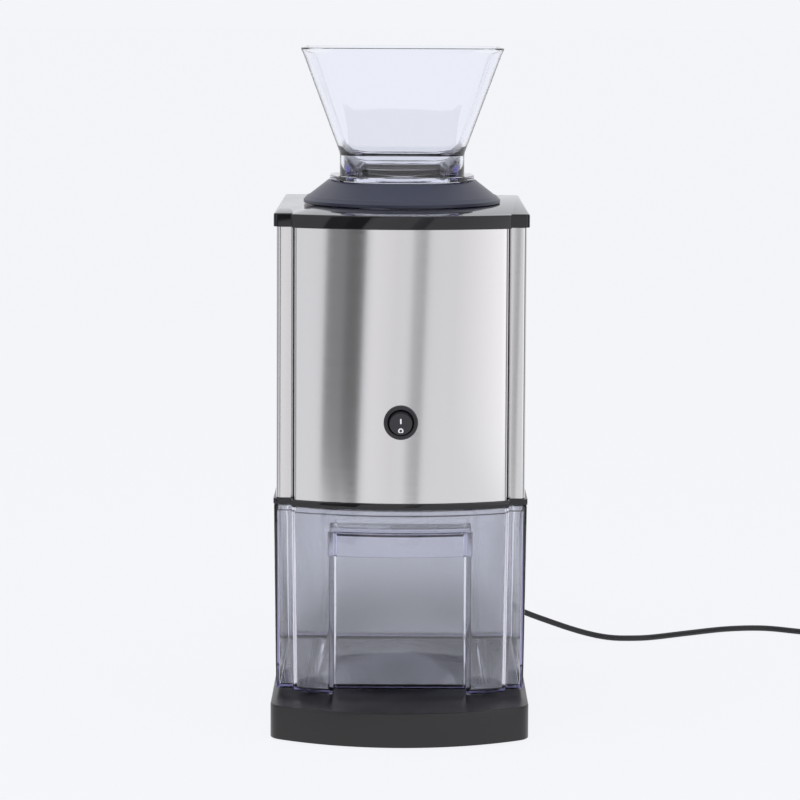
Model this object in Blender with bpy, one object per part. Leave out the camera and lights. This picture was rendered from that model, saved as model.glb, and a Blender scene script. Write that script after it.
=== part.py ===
"""Countertop electric ice crusher, as an assembly of separate pieces.

Frame: +Z up, the front faces -Y, +X is the right side seen from the front. The origin is on the counter, under
the middle of the base. Metres throughout.
"""

import math

import bmesh
import bpy
import numpy as np
from mathutils import Vector

# Gaps between pieces
GAP = 0.0003                    # between two pieces that touch
RUNNING = 0.0003                # radial, round anything that turns
SLIDING = 0.0005                # round anything that slides

# Housing
HOUSING_WIDTH = 0.172           # across the cover
HOUSING_FRONT = 0.0695          # from the origin forward to the corner columns
HOUSING_REAR = 0.1255           # from the origin back to the base's rear edge
STEP_X = 0.0735                 # half width of the bowed middle of the front
STEP = 0.008                    # the bowed middle stands this far ahead of the corners
BOW = 0.015                     # rise of the bow over its width
EDGE_R = 0.003                  # vertical edges of the housing
CASING_HEIGHT = 0.184
CASING_SETBACK = 0.0019         # the steel lies this far inside the cover's outline
SHEET = 0.001                   # steel sheet
RETURN = 0.008                  # folded returns of the steel sheets
GROOVE = 0.0007                 # between a corner column and the front panel
REAR_GAUGE = 0.0015             # rear panel's sheet
REAR_EDGE = 0.0006              # the rear panel's side edges, inside the casing's sides
VENTS = 7                       # slots in the rear panel, behind the motor
VENT_HALF = 0.032
VENT_HEIGHT = 0.004
VENT_PITCH = 0.010
SCREW_R = 0.0034
SCREW_INSET = 0.012             # from the rear panel's edges
COVER_HEIGHT = 0.009
COVER_CHAMFER = 0.0008
PLASTIC = 0.0025                # moulded walls
CHASSIS_THICKNESS = 0.004
PANEL_SETBACK = 0.0025          # rear panel, inside the base's rear edge

# Base
BASE_MARGIN = 0.0005            # wider than the housing, each side
BASE_HEIGHT = 0.024
BASE_SIDE_FRONT = 0.1005        # where the side and the bowed front would meet
BASE_FRONT = 0.1255
BASE_CORNER_R = 0.012
BASE_BACK_R = 0.005
BASE_CHAMFER = 0.0012
SHELL_LIFT = 0.0012             # the shell's rim clears the counter
FOOT_R = 0.008
FOOT_HEIGHT = 0.0032
FOOT_X = 0.064
FOOT_FRONT_Y = -0.086
FOOT_REAR_Y = 0.105
PLATE_THICKNESS = 0.0015

# Bin
BIN_HEIGHT = 0.1265
BIN_LIFT = 0.003                # skids under the bin
BIN_DRAFT = 0.0016              # each side narrows this much towards the bottom
BIN_WALL = 0.0025
BIN_INSET = 0.0004              # inside the cover's outline
BIN_REAR_GAP = 0.003            # between the bin and the column behind it
COLUMN_DEPTH = 0.037
RECESS_HALF = 0.0445            # finger recess under the handle
RECESS_DEPTH = 0.023
RECESS_TOP = 0.1115             # above the bin's bottom
HANDLE_HALF = 0.0486
HANDLE_HEIGHT = 0.016
HANDLE_THICKNESS = 0.0027
SKID_X = 0.060
SKID_WIDTH = 0.006

# Feed
FEED_Y = 0.040                  # the feed's axis, behind the origin
COLLAR_R = 0.0695
COLLAR_FLANGE = 0.0052
COLLAR_STEP = 0.0012            # each of the two steps in the flange's edge
CONE_BOTTOM_R = 0.0660
CONE_TOP_R = 0.0530
COLLAR_HEIGHT = 0.0159
FEED_HOLE_R = 0.0425
FLANGE_HALF = 0.0510
FLANGE_THICKNESS = 0.0035
SKIRT_HALF = 0.0435
SKIRT_HEIGHT = 0.0195
SKIRT_R = 0.020
RIM_HALF = 0.0700
RIM_R = 0.022
FUNNEL_HEIGHT = 0.074
HOPPER_WALL = 0.0025
THROAT_HALF = 0.0300
THROAT_R = 0.010
SPIGOT = 0.018                  # how far the throat reaches below the flange

# Crusher
CHAMBER_HALF = 0.0305           # inside
CHAMBER_WALL = 0.0025
CHAMBER_LIP = 0.004
ROTOR_Z = 0.290
ROTOR_R = 0.026
HUB_R = 0.009
SHAFT_R = 0.005
KNIVES = 4
KNIFE_PITCH = 0.014
KNIFE_THICKNESS = 0.003
KNIFE_POINTS = 3
KNIFE_STEPS = 8                 # points on the outline of each hooked tooth
BUSH_WALL = 0.002
BUSH_FLANGE = 0.0015            # how far the left bush's flange stands out
BUSH_FLANGE_WIDTH = 0.002
COMB_THICKNESS = 0.006
CHUTE_FLARE = 0.0025

# Drive
MOTOR_R = 0.025
MOTOR_LENGTH = 0.062
MOTOR_Y = -0.022
MOTOR_Z = 0.222
MOTOR_SHAFT_R = 0.0025
ARMATURE_R = 0.0175
AXLE_R = 0.003
MODULE_1 = 0.0015               # motor pinion and the large intermediate gear
TEETH_PINION = 10
TEETH_LARGE = 46
MODULE_2 = 0.002                # small intermediate gear and the rotor's gear
TEETH_SMALL = 10
TEETH_ROTOR = 44
GEAR_1_WIDTH = 0.005
GEAR_2_WIDTH = 0.007
PLATE_GAUGE = 0.002
PRESSURE = math.radians(20)
BACKLASH = 0.16                 # share of a module taken off each tooth

# Switches
SWITCH_Z = 0.2130
BEZEL_R = 0.0115
BEZEL_PROUD = 0.0022
SWITCH_R = 0.0100
SWITCH_DEPTH = 0.022
ROCKER_R = 0.0081
ROCKER_PROUD = 0.0036           # the rocker's face, ahead of its pivot
ROCKER_BACK = 0.0046
POCKET_DEPTH = 0.0095
ROCKER_TILT = math.radians(10)
PLUNGER_X = -0.0475
PLUNGER_R = 0.002
PLUNGER_WELL = 0.010            # depth of its well in the interlock switch
PLUNGER_REACH = 0.008           # how far it stands in the well when it is held down
INTERLOCK_DROP = 0.006          # the interlock switch's top, below the cover
INTERLOCK_LEFT = 0.0095
INTERLOCK_RIGHT = 0.0090
INTERLOCK_HALF = 0.006
INTERLOCK_HEIGHT = 0.018

# Cord
CORD_R = 0.0022
CORD_X = 0.050
CORD_Z = 0.050
GLAND_R = 0.0075                # outside the panel
GLAND_WAIST_R = 0.0050          # through the panel
COIL_CENTRE = (0.3686, 0.1786)
COIL_R = 0.0263                 # to the middle of the turns
COIL_HALF_WIDTH = 0.0047
COIL_HEIGHT = 0.0152
PLUG_AT = (0.3700, 0.1376, 0.0072)
PLUG_TURN = (math.radians(-90), 0, math.radians(135))
LEAD_X = -0.060                 # where the internal lead climbs
LEAD_Y = 0.104
LEAD_R = 0.0016
LEAD_HOLE_R = 0.006

# The cord's way from the strain relief to the coil. It meets the coil's outer turn in a tangent.
CORD_ROUTE = (
    (0.0500, 0.1560, 0.0500), (0.0506, 0.1680, 0.0494), (0.0535, 0.1800, 0.0468), (0.0620, 0.1900, 0.0405),
    (0.0770, 0.1955, 0.0325), (0.0960, 0.1985, 0.0235), (0.1130, 0.2020, 0.0165), (0.1330, 0.2055, 0.0090),
    (0.1500, 0.2065, 0.0042), (0.1640, 0.2040, 0.0025), (0.1780, 0.2028, 0.0024), (0.1950, 0.2062, 0.0024),
    (0.2250, 0.2220, 0.0024), (0.2570, 0.2375, 0.0024), (0.2860, 0.2410, 0.0024), (0.3114, 0.2303, 0.0024),
    (0.3330, 0.2190, 0.0024), (0.3556, 0.2100, 0.0024),
)

Z_BASE = BASE_HEIGHT
Z_BIN = Z_BASE + BIN_LIFT
Z_BIN_TOP = Z_BIN + BIN_HEIGHT
Z_CHASSIS = Z_BIN_TOP + SLIDING
Z_CASING = Z_CHASSIS + CHASSIS_THICKNESS
Z_COVER = Z_CASING + CASING_HEIGHT
Z_COVER_TOP = Z_COVER + COVER_HEIGHT
Z_COLLAR = Z_COVER_TOP + GAP
Z_COLLAR_TOP = Z_COLLAR + COLLAR_HEIGHT
Z_FLANGE = Z_COLLAR_TOP + GAP
Z_SKIRT_TOP = Z_FLANGE + SKIRT_HEIGHT
Z_RIM = Z_SKIRT_TOP + FUNNEL_HEIGHT
COVER_HALF = HOUSING_WIDTH / 2
CASING_HALF = COVER_HALF - CASING_SETBACK
COLUMN_FRONT = HOUSING_REAR - COLUMN_DEPTH
PANEL_Y = HOUSING_REAR - PANEL_SETBACK
REAR_INNER = PANEL_Y - REAR_GAUGE - GAP     # where the sheets stop short of the rear panel
BOW_R = (STEP_X**2 + BOW**2) / (2 * BOW)
BOW_CENTRE_Y = -HOUSING_FRONT - STEP - BOW + BOW_R
FRONT_Y = -HOUSING_FRONT - STEP - BOW
SKIN_Y = FRONT_Y + CASING_SETBACK
CHAMBER_OUT = CHAMBER_HALF + CHAMBER_WALL
CHAMBER_TOP = Z_COVER_TOP - PLASTIC - 0.0015
CHAMBER_BOTTOM = ROTOR_Z - ROTOR_R - 0.004

# Positions along the shafts, from the chamber's side outward
X_PLATE = CHAMBER_OUT + CHUTE_FLARE + 0.0005
X_GEAR_1 = X_PLATE + PLATE_GAUGE + 0.0005
X_GEAR_2 = X_GEAR_1 + GEAR_1_WIDTH
X_ROTOR_GEAR = X_GEAR_2 + 0.0005
X_BRIDGE = X_GEAR_2 + GEAR_2_WIDTH + 0.001

# Materials: colour, roughness, metallic
FINISHES = {
    "brushed_steel": ((0.62, 0.61, 0.62, 1), 0.30, 1),
    "machined_steel": ((0.55, 0.55, 0.56, 1), 0.35, 1),
    "zinc_steel": ((0.60, 0.61, 0.62, 1), 0.40, 1),
    "copper_winding": ((0.72, 0.32, 0.14, 1), 0.40, 1),
    "bronze": ((0.60, 0.42, 0.22, 1), 0.45, 1),
    "black_gloss": ((0.012, 0.012, 0.014, 1), 0.15, 0),
    "black_satin": ((0.035, 0.037, 0.048, 1), 0.38, 0),
    "charcoal_gloss": ((0.035, 0.034, 0.036, 1), 0.25, 0),
    "clear_san": ((0.82, 0.84, 0.95, 0.3), 0.04, 0),
    "white_nylon": ((0.75, 0.75, 0.72, 1), 0.45, 0),
    "grey_plastic": ((0.30, 0.30, 0.31, 1), 0.50, 0),
    "food_plastic": ((0.70, 0.71, 0.72, 1), 0.40, 0),
    "rubber": ((0.02, 0.02, 0.02, 1), 0.80, 0),
    "cord_pvc": ((0.012, 0.012, 0.014, 1), 0.45, 0),
    "silicone": ((0.55, 0.56, 0.58, 1), 0.60, 0),
}

CUT = 0.01                              # how far a cutter reaches past the face that it opens
TURN_X = (0, math.pi / 2, 0)            # local Z lies along +X
TURN_FRONT = (math.pi / 2, 0, 0)        # local Z lies along -Y
TURN_BACK = (-math.pi / 2, 0, 0)        # local Z lies along +Y


# --- shapes -------------------------------------------------------------------------------------------------

def clear_scene():
    for obj in list(bpy.data.objects):
        bpy.data.objects.remove(obj, do_unlink=True)


def finish_material(name):
    found = bpy.data.materials.get(name)
    if found:
        return found
    colour, roughness, metallic = FINISHES[name]
    made = bpy.data.materials.new(name)
    made.use_nodes = True
    made.diffuse_color = colour
    shader = made.node_tree.nodes["Principled BSDF"]
    shader.inputs["Base Color"].default_value = (*colour[:3], 1)
    shader.inputs["Roughness"].default_value = roughness
    shader.inputs["Metallic"].default_value = metallic
    shader.inputs["Alpha"].default_value = colour[3]
    return made


def piece(name, bm, finish, location=(0, 0, 0), rotation=(0, 0, 0), parent=None, smooth=False):
    """Turns a bmesh into a named object with its faces pointing out."""
    bmesh.ops.recalc_face_normals(bm, faces=bm.faces)
    mesh = bpy.data.meshes.new(name)
    bm.to_mesh(mesh)
    bm.free()
    if smooth:
        mesh.shade_smooth()
        mesh.set_sharp_from_angle(angle=math.radians(35))
    obj = bpy.data.objects.new(name, mesh)
    obj.location = location
    obj.rotation_euler = rotation
    bpy.context.scene.collection.objects.link(obj)
    if finish:
        mesh.materials.append(finish_material(finish))
    if parent:
        bpy.context.view_layer.update()
        obj.parent = parent
        obj.matrix_parent_inverse = parent.matrix_world.inverted()
    return obj


def empty(name, location):
    obj = bpy.data.objects.new(name, None)
    obj.location = location
    bpy.context.scene.collection.objects.link(obj)
    bpy.context.view_layer.update()
    return obj


def boolean(obj, helper, operation):
    helper.hide_render = True
    helper.display_type = "WIRE"
    modifier = obj.modifiers.new(f"{operation.lower()} {helper.name}", "BOOLEAN")
    modifier.operation = operation
    modifier.object = helper
    modifier.solver = "EXACT"


def loft(rings, around=False):
    """A skin over rings of equal point counts. around joins the last ring to the first, as on a tube's wall."""
    bm = bmesh.new()
    rows = [[bm.verts.new(point) for point in ring] for ring in rings]
    pairs = list(zip(rows, rows[1:]))
    if around:
        pairs.append((rows[-1], rows[0]))
    for low, high in pairs:
        for k in range(len(low)):
            n = (k + 1) % len(low)
            bm.faces.new((low[k], low[n], high[n], high[k]))
    if not around:
        bm.faces.new(rows[0][::-1])
        bm.faces.new(rows[-1])
    return bm


def prism(outline, z0, z1):
    return loft([[(x, y, z0) for x, y in outline], [(x, y, z1) for x, y in outline]])


def box(x0, x1, y0, y1, z0, z1):
    return prism([(x0, y0), (x1, y0), (x1, y1), (x0, y1)], z0, z1)


def turned(profile, steps=24, closed=False):
    """Spins a profile of (radius, height) about Z. closed joins its ends, as on a ring."""
    bm = bmesh.new()
    points = [bm.verts.new((r, 0, z)) for r, z in profile]
    edges = [bm.edges.new(pair) for pair in zip(points, points[1:])]
    if closed:
        edges.append(bm.edges.new((points[-1], points[0])))
    bmesh.ops.spin(bm, geom=points + edges, cent=(0, 0, 0), axis=(0, 0, 1), angle=math.tau, steps=steps,
                   use_merge=True)
    bmesh.ops.remove_doubles(bm, verts=bm.verts, dist=1e-7)
    return bm


def rod(radius, z0, z1, steps=24):
    return turned([(0, z0), (radius, z0), (radius, z1), (0, z1)], steps)


def arc(centre, radius, start, end, count):
    """Points on an arc, with both ends, angles in radians."""
    angles = np.linspace(start, end, count + 1)
    return [(centre[0] + radius * math.cos(a), centre[1] + radius * math.sin(a)) for a in angles]


def rounded_box(half_x, half_y, radius, centre=(0, 0), count=5):
    points = []
    for k in range(4):
        side_x, side_y = (1, -1, -1, 1)[k], (1, 1, -1, -1)[k]
        middle = (centre[0] + side_x * (half_x - radius), centre[1] + side_y * (half_y - radius))
        points += arc(middle, radius, k * math.pi / 2, (k + 1) * math.pi / 2, count)
    return points


def rounded_square(half, radius, centre=(0, 0), count=5):
    return rounded_box(half, half, radius, centre, count)


def at_height(outline, z):
    return [(x, y, z) for x, y in outline]


def bow_y(x, inset):
    """The bowed front's line, moved inward by inset."""
    return BOW_CENTRE_Y - math.sqrt((BOW_R - inset) ** 2 - x**2)


def housing_half(inset, rear):
    """Right half of the stepped housing outline, from the front's middle to the rear edge."""
    step_x = STEP_X - inset
    bow = [(x, bow_y(x, inset)) for x in np.linspace(0, step_x, 9)[1:]]
    r = EDGE_R
    side = COVER_HALF - inset
    front = -HOUSING_FRONT + inset
    corner = arc((side - r, front + r), r, -math.pi / 2, 0, 3)
    back = arc((side - r, rear - inset - r), r, 0, math.pi / 2, 3)
    return bow + [(step_x, front)] + corner + back


def housing_outline(inset, rear):
    half = housing_half(inset, rear)
    return [(-x, y) for x, y in half[::-1]] + [(0, bow_y(0, inset))] + half


def base_outline(inset):
    """Straight sides, a bowed front and a fillet where they meet."""
    half = COVER_HALF + BASE_MARGIN
    bow = BASE_FRONT - BASE_SIDE_FRONT
    radius = (half**2 + bow**2) / (2 * bow)
    centre_y = -BASE_FRONT + radius
    r = BASE_CORNER_R
    fillet_y = centre_y - math.sqrt((radius - r) ** 2 - (half - r) ** 2)
    fillet_start = math.atan2(fillet_y - centre_y, half - r)
    front = arc((0, centre_y), radius - inset, -math.pi / 2, fillet_start, 8)
    corner = arc((half - r, fillet_y), r - inset, fillet_start, 0, 4)
    back = arc((half - BASE_BACK_R, HOUSING_REAR - BASE_BACK_R), BASE_BACK_R - inset, 0, math.pi / 2, 3)
    right = front[1:] + corner[1:] + back
    return [(-x, y) for x, y in right[::-1]] + [front[0]] + right


def band(path, thickness):
    """Closed outline of a sheet that follows an open path, with its thickness on the left of the path."""
    points = [Vector(p) for p in path]
    inner = []
    for k, point in enumerate(points):
        before = (point - points[k - 1]).normalized() if k else None
        after = (points[k + 1] - point).normalized() if k + 1 < len(points) else None
        before = before or after
        after = after or before
        normal_1 = Vector((-before.y, before.x))
        normal_2 = Vector((-after.y, after.x))
        mitre = (normal_1 + normal_2).normalized()
        inner.append(point + mitre * (thickness / mitre.dot(normal_1)))
    return [tuple(p) for p in points] + [tuple(p) for p in inner[::-1]]


# --- gears --------------------------------------------------------------------------------------------------

def gear_outline(module, teeth, phase):
    """Involute outline. phase is the angle of a tooth's middle, in the local plane."""
    pitch_r = module * teeth / 2
    base_r = pitch_r * math.cos(PRESSURE)
    tip_r = pitch_r + 0.8 * module
    root_r = pitch_r - 1.05 * module
    half_pitch = math.pi / (2 * teeth) - BACKLASH * module / (2 * pitch_r)

    def half_angle(r):
        if r <= base_r:
            return half_pitch + math.tan(PRESSURE) - PRESSURE
        pressure = math.acos(base_r / r)
        return half_pitch + math.tan(PRESSURE) - PRESSURE - (math.tan(pressure) - pressure)

    points = []
    for tooth in range(teeth):
        middle = phase + tooth * math.tau / teeth
        flank = [(root_r, half_angle(root_r)), (tip_r, half_angle(tip_r))]
        for r, spread in flank:
            points.append((r * math.cos(middle - spread), r * math.sin(middle - spread)))
        for r, spread in flank[::-1]:
            points.append((r * math.cos(middle + spread), r * math.sin(middle + spread)))
    return points


def mesh_phase(phase, teeth, direction, other_teeth):
    """Phase of a gear's mate, so that a tooth meets a gap along direction, the angle towards the mate."""
    return direction + math.pi - (math.pi - (direction - phase) * teeth) / other_teeth


def axle_positions():
    """(y, z) of the rotor, intermediate and motor axes. The intermediate one closes the triangle below."""
    rotor = Vector((FEED_Y, ROTOR_Z))
    motor = Vector((MOTOR_Y, MOTOR_Z))
    near = MODULE_1 * (TEETH_PINION + TEETH_LARGE) / 2
    far = MODULE_2 * (TEETH_SMALL + TEETH_ROTOR) / 2
    span = (rotor - motor).length
    along = (near**2 - far**2 + span**2) / (2 * span)
    aside = math.sqrt(near**2 - along**2)
    unit = (rotor - motor).normalized()
    return rotor, motor + unit * along + Vector((unit.y, -unit.x)) * aside, motor


ROTOR_AXIS, MIDDLE_AXIS, MOTOR_AXIS = axle_positions()


def on_axis(axis, x=0.0):
    return (x, axis[0], axis[1])


def local_angle(angle):
    """An angle from +Y towards +Z, in the plane of a piece turned to lie along X."""
    return angle + math.pi / 2


def direction(start, end):
    return math.atan2(end[1] - start[1], end[0] - start[0])


# --- base, column and bin -----------------------------------------------------------------------------------

def make_base():
    rings = [at_height(base_outline(0), SHELL_LIFT), at_height(base_outline(0), Z_BASE - BASE_CHAMFER),
             at_height(base_outline(BASE_CHAMFER), Z_BASE)]
    shell = piece("base_shell", loft(rings), "charcoal_gloss")
    hollow = prism(base_outline(PLASTIC), SHELL_LIFT - CUT, Z_BASE - PLASTIC)
    boolean(shell, piece("cut_base_hollow", hollow, None), "DIFFERENCE")

    inset = PLASTIC + SLIDING
    plate = prism(base_outline(inset), FOOT_HEIGHT + GAP, FOOT_HEIGHT + GAP + PLATE_THICKNESS)
    piece("base_plate", plate, "grey_plastic")

    for side, x in (("left", -FOOT_X), ("right", FOOT_X)):
        for end, y in (("front", FOOT_FRONT_Y), ("rear", FOOT_REAR_Y)):
            pad = turned([(0, 0), (FOOT_R - 0.0008, 0), (FOOT_R, 0.0008), (FOOT_R, FOOT_HEIGHT),
                          (0, FOOT_HEIGHT)], 20)
            piece(f"foot_{end}_{side}", pad, "rubber", (x, y, 0), smooth=True)


def make_column():
    """Three-sided steel column behind the bin, open to the rear."""
    half, front, rear = CASING_HALF, COLUMN_FRONT, REAR_INNER
    r = EDGE_R
    right = [(half - RETURN, rear), (half, rear)] + arc((half - r, front + r), r, 0, -math.pi / 2, 3)
    left = [(-x, y) for x, y in right[::-1]]
    bm = prism(band(right + left, -SHEET), Z_BASE + GAP, Z_CHASSIS - GAP)
    piece("rear_column", bm, "brushed_steel")


def make_rear_panel():
    half = CASING_HALF - REAR_EDGE
    low, high = Z_BASE + GAP, Z_COVER - GAP
    panel = piece("rear_panel", box(-half, half, PANEL_Y - REAR_GAUGE, PANEL_Y, low, high), "brushed_steel")
    slots = bmesh.new()
    for k in range(VENTS):
        z = MOTOR_Z + (k - (VENTS - 1) / 2) * VENT_PITCH
        one = box(-VENT_HALF, VENT_HALF, PANEL_Y - CUT, PANEL_Y + CUT, z, z + VENT_HEIGHT)
        mesh = bpy.data.meshes.new("slot")
        one.to_mesh(mesh)
        one.free()
        slots.from_mesh(mesh)
    boolean(panel, piece("cut_vents", slots, None), "DIFFERENCE")
    hole = piece("cut_gland_hole", rod(GLAND_WAIST_R + SLIDING, -CUT, CUT), None, (CORD_X, PANEL_Y, CORD_Z),
                 TURN_BACK)
    boolean(panel, hole, "DIFFERENCE")
    for side, x in (("left", SCREW_INSET - half), ("right", half - SCREW_INSET)):
        for end, z in (("low", low + SCREW_INSET), ("high", high - SCREW_INSET)):
            head = turned([(0, GAP), (SCREW_R, GAP), (SCREW_R, 0.0012), (SCREW_R - 0.0012, 0.0020),
                           (0, 0.0022)], 16)
            piece(f"rear_screw_{end}_{side}", head, "zinc_steel", (x, PANEL_Y, z), TURN_BACK, smooth=True)


def make_chassis():
    plate = piece("chassis_plate", prism(housing_outline(0, REAR_INNER), Z_CHASSIS, Z_CASING), "black_gloss")
    hole = prism(rounded_square(CHAMBER_OUT + CHUTE_FLARE + SLIDING, 0.006, (0, FEED_Y), 3),
                 Z_CHASSIS - CUT, Z_CASING + CUT)
    boolean(plate, piece("cut_chute_hole", hole, None), "DIFFERENCE")
    lead_hole = piece("cut_lead_hole", rod(LEAD_HOLE_R, Z_CHASSIS - CUT, Z_CASING + CUT, 12), None,
                      (LEAD_X, LEAD_Y, 0))
    boolean(plate, lead_hole, "DIFFERENCE")


def make_bin():
    rear = COLUMN_FRONT - BIN_REAR_GAP
    body = empty("bin_body", (0, 0, Z_BIN))
    outer = housing_outline(BIN_INSET, rear)
    foot = housing_outline(BIN_INSET + BIN_DRAFT, rear)
    tray = piece("ice_bin", loft([at_height(foot, Z_BIN), at_height(outer, Z_BIN_TOP)]), "clear_san",
                 parent=body)
    inner_top = housing_outline(BIN_INSET + BIN_WALL, rear)
    inner_foot = housing_outline(BIN_INSET + BIN_DRAFT + BIN_WALL, rear)
    slope = BIN_DRAFT / BIN_HEIGHT
    mouth = housing_outline(BIN_INSET + BIN_WALL - slope * CUT, rear)
    hollow = loft([at_height(inner_foot, Z_BIN + BIN_WALL), at_height(inner_top, Z_BIN_TOP),
                   at_height(mouth, Z_BIN_TOP + CUT)])
    recess_y = FRONT_Y + RECESS_DEPTH
    roof = Z_BIN + RECESS_TOP
    half = RECESS_HALF + BIN_WALL
    hollow = piece("cut_bin_hollow", hollow, None)
    wall = box(-half, half, FRONT_Y - 2 * CUT, recess_y + BIN_WALL, Z_BIN - 2 * CUT, roof + BIN_WALL)
    boolean(hollow, piece("keep_recess_wall", wall, None), "DIFFERENCE")
    boolean(tray, hollow, "DIFFERENCE")
    void = box(-RECESS_HALF, RECESS_HALF, FRONT_Y - CUT, recess_y, Z_BIN - CUT, roof)
    boolean(tray, piece("cut_recess", void, None), "DIFFERENCE")
    for side, x in (("left", -SKID_X), ("right", SKID_X)):
        skid = box(x - SKID_WIDTH / 2, x + SKID_WIDTH / 2, -HOUSING_FRONT + 0.008, rear - 0.006, Z_BASE + GAP,
                   Z_BIN + BIN_WALL / 2)
        boolean(tray, piece(f"join_skid_{side}", skid, None), "UNION")

    near = -GAP
    far = -GAP - HANDLE_THICKNESS
    xs = np.linspace(-HANDLE_HALF, HANDLE_HALF, 9)
    outline = [(x, bow_y(x, BIN_INSET + far)) for x in xs] + [(x, bow_y(x, BIN_INSET + near)) for x in xs[::-1]]
    piece("bin_handle", prism(outline, roof - HANDLE_HEIGHT, roof), "clear_san", parent=body)


# --- housing ------------------------------------------------------------------------------------------------

def make_side_panels():
    """Each is one folded sheet: front return, corner column, side and rear flange."""
    half, front = CASING_HALF, -HOUSING_FRONT + CASING_SETBACK
    rear = REAR_INNER
    inner = STEP_X - CASING_SETBACK + GROOVE
    r = EDGE_R
    path = [(inner, front + RETURN), (inner, front)] + arc((half - r, front + r), r, -math.pi / 2, 0, 4)
    path += [(half, rear), (half - RETURN, rear)]
    piece("side_panel_right", prism(band(path, SHEET), Z_CASING + GAP, Z_COVER - GAP), "brushed_steel")
    left = [(-x, y) for x, y in path[::-1]]
    piece("side_panel_left", prism(band(left, SHEET), Z_CASING + GAP, Z_COVER - GAP), "brushed_steel")


def make_front_panel():
    side = STEP_X - CASING_SETBACK
    front = [(x, bow_y(x, CASING_SETBACK)) for x in np.linspace(-side, side, 17)]
    back = -HOUSING_FRONT + CASING_SETBACK + RETURN
    path = [(-side, back)] + front + [(side, back)]
    panel = piece("front_panel", prism(band(path, SHEET), Z_CASING + GAP, Z_COVER - GAP), "brushed_steel")
    hole = piece("cut_switch_hole", rod(SWITCH_R + GAP, -CUT, CUT), None, (0, SKIN_Y, SWITCH_Z), TURN_FRONT)
    boolean(panel, hole, "DIFFERENCE")


def make_cover():
    rings = [at_height(housing_outline(0, HOUSING_REAR), Z_COVER),
             at_height(housing_outline(0, HOUSING_REAR), Z_COVER_TOP - COVER_CHAMFER),
             at_height(housing_outline(COVER_CHAMFER, HOUSING_REAR), Z_COVER_TOP)]
    cover = piece("top_cover", loft(rings), "black_gloss")
    hollow = prism(housing_outline(PLASTIC, HOUSING_REAR), Z_COVER - CUT, Z_COVER_TOP - PLASTIC)
    boolean(cover, piece("cut_cover_hollow", hollow, None), "DIFFERENCE")
    hole = piece("cut_cover_hole", rod(FEED_HOLE_R, Z_COVER - CUT, Z_COVER_TOP + CUT, 32), None,
                 (0, FEED_Y, 0))
    boolean(cover, hole, "DIFFERENCE")
    boolean(cover, plunger_hole("cover"), "DIFFERENCE")


def plunger_hole(owner):
    bm = rod(PLUNGER_R + SLIDING, Z_COVER - CUT, Z_FLANGE + CUT, 12)
    return piece(f"cut_plunger_hole_{owner}", bm, None, (PLUNGER_X, FEED_Y, 0))


# --- feed ---------------------------------------------------------------------------------------------------

def make_collar():
    top = COLLAR_HEIGHT
    flange = COLLAR_FLANGE
    step = COLLAR_STEP
    profile = [(COLLAR_R - PLASTIC, 0), (COLLAR_R, 0), (COLLAR_R, flange - 2 * step),
               (COLLAR_R - step, flange - 2 * step), (COLLAR_R - step, flange - step),
               (COLLAR_R - 2 * step, flange - step), (COLLAR_R - 2 * step, flange), (CONE_BOTTOM_R, flange),
               (CONE_TOP_R, top - 0.0008), (CONE_TOP_R - 0.0008, top), (FEED_HOLE_R, top),
               (FEED_HOLE_R, top - PLASTIC), (CONE_TOP_R - 0.003, top - PLASTIC),
               (CONE_BOTTOM_R - PLASTIC, flange - 2 * step)]
    collar = piece("feed_collar", turned(profile, 32, closed=True), "black_satin", (0, FEED_Y, Z_COLLAR),
                   smooth=True)
    boolean(collar, plunger_hole("collar"), "DIFFERENCE")


def make_hopper():
    """Clear funnel in one wall: rim, neck, skirt, flange, and the throat inside the skirt down to its spigot."""
    wall = HOPPER_WALL
    flange_top = Z_FLANGE + FLANGE_THICKNESS
    spigot = Z_FLANGE - SPIGOT
    neck_in = SKIRT_HALF - wall

    def ring(half, radius, z):
        return at_height(rounded_square(half, radius, (0, FEED_Y), 6), z)

    rings = [
        ring(RIM_HALF, RIM_R, Z_RIM), ring(SKIRT_HALF, SKIRT_R, Z_SKIRT_TOP),
        ring(SKIRT_HALF, SKIRT_R, flange_top), ring(FLANGE_HALF, FLANGE_HALF - 0.006, flange_top),
        ring(FLANGE_HALF, FLANGE_HALF - 0.006, Z_FLANGE), ring(neck_in, SKIRT_R - wall, Z_FLANGE),
        ring(neck_in, SKIRT_R - wall, Z_SKIRT_TOP - 2 * wall), ring(THROAT_HALF + wall, THROAT_R + wall, flange_top),
        ring(THROAT_HALF + wall, THROAT_R + wall, spigot), ring(THROAT_HALF, THROAT_R, spigot),
        ring(THROAT_HALF, THROAT_R, flange_top + wall), ring(neck_in, SKIRT_R - wall, Z_SKIRT_TOP + wall / 2),
        ring(RIM_HALF - wall, RIM_R - wall, Z_RIM),
    ]
    body = empty("hopper_body", (0, FEED_Y, Z_FLANGE))
    piece("ice_hopper", loft(rings, around=True), "clear_san", parent=body, smooth=True)


# --- crusher ------------------------------------------------------------------------------------------------

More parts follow.
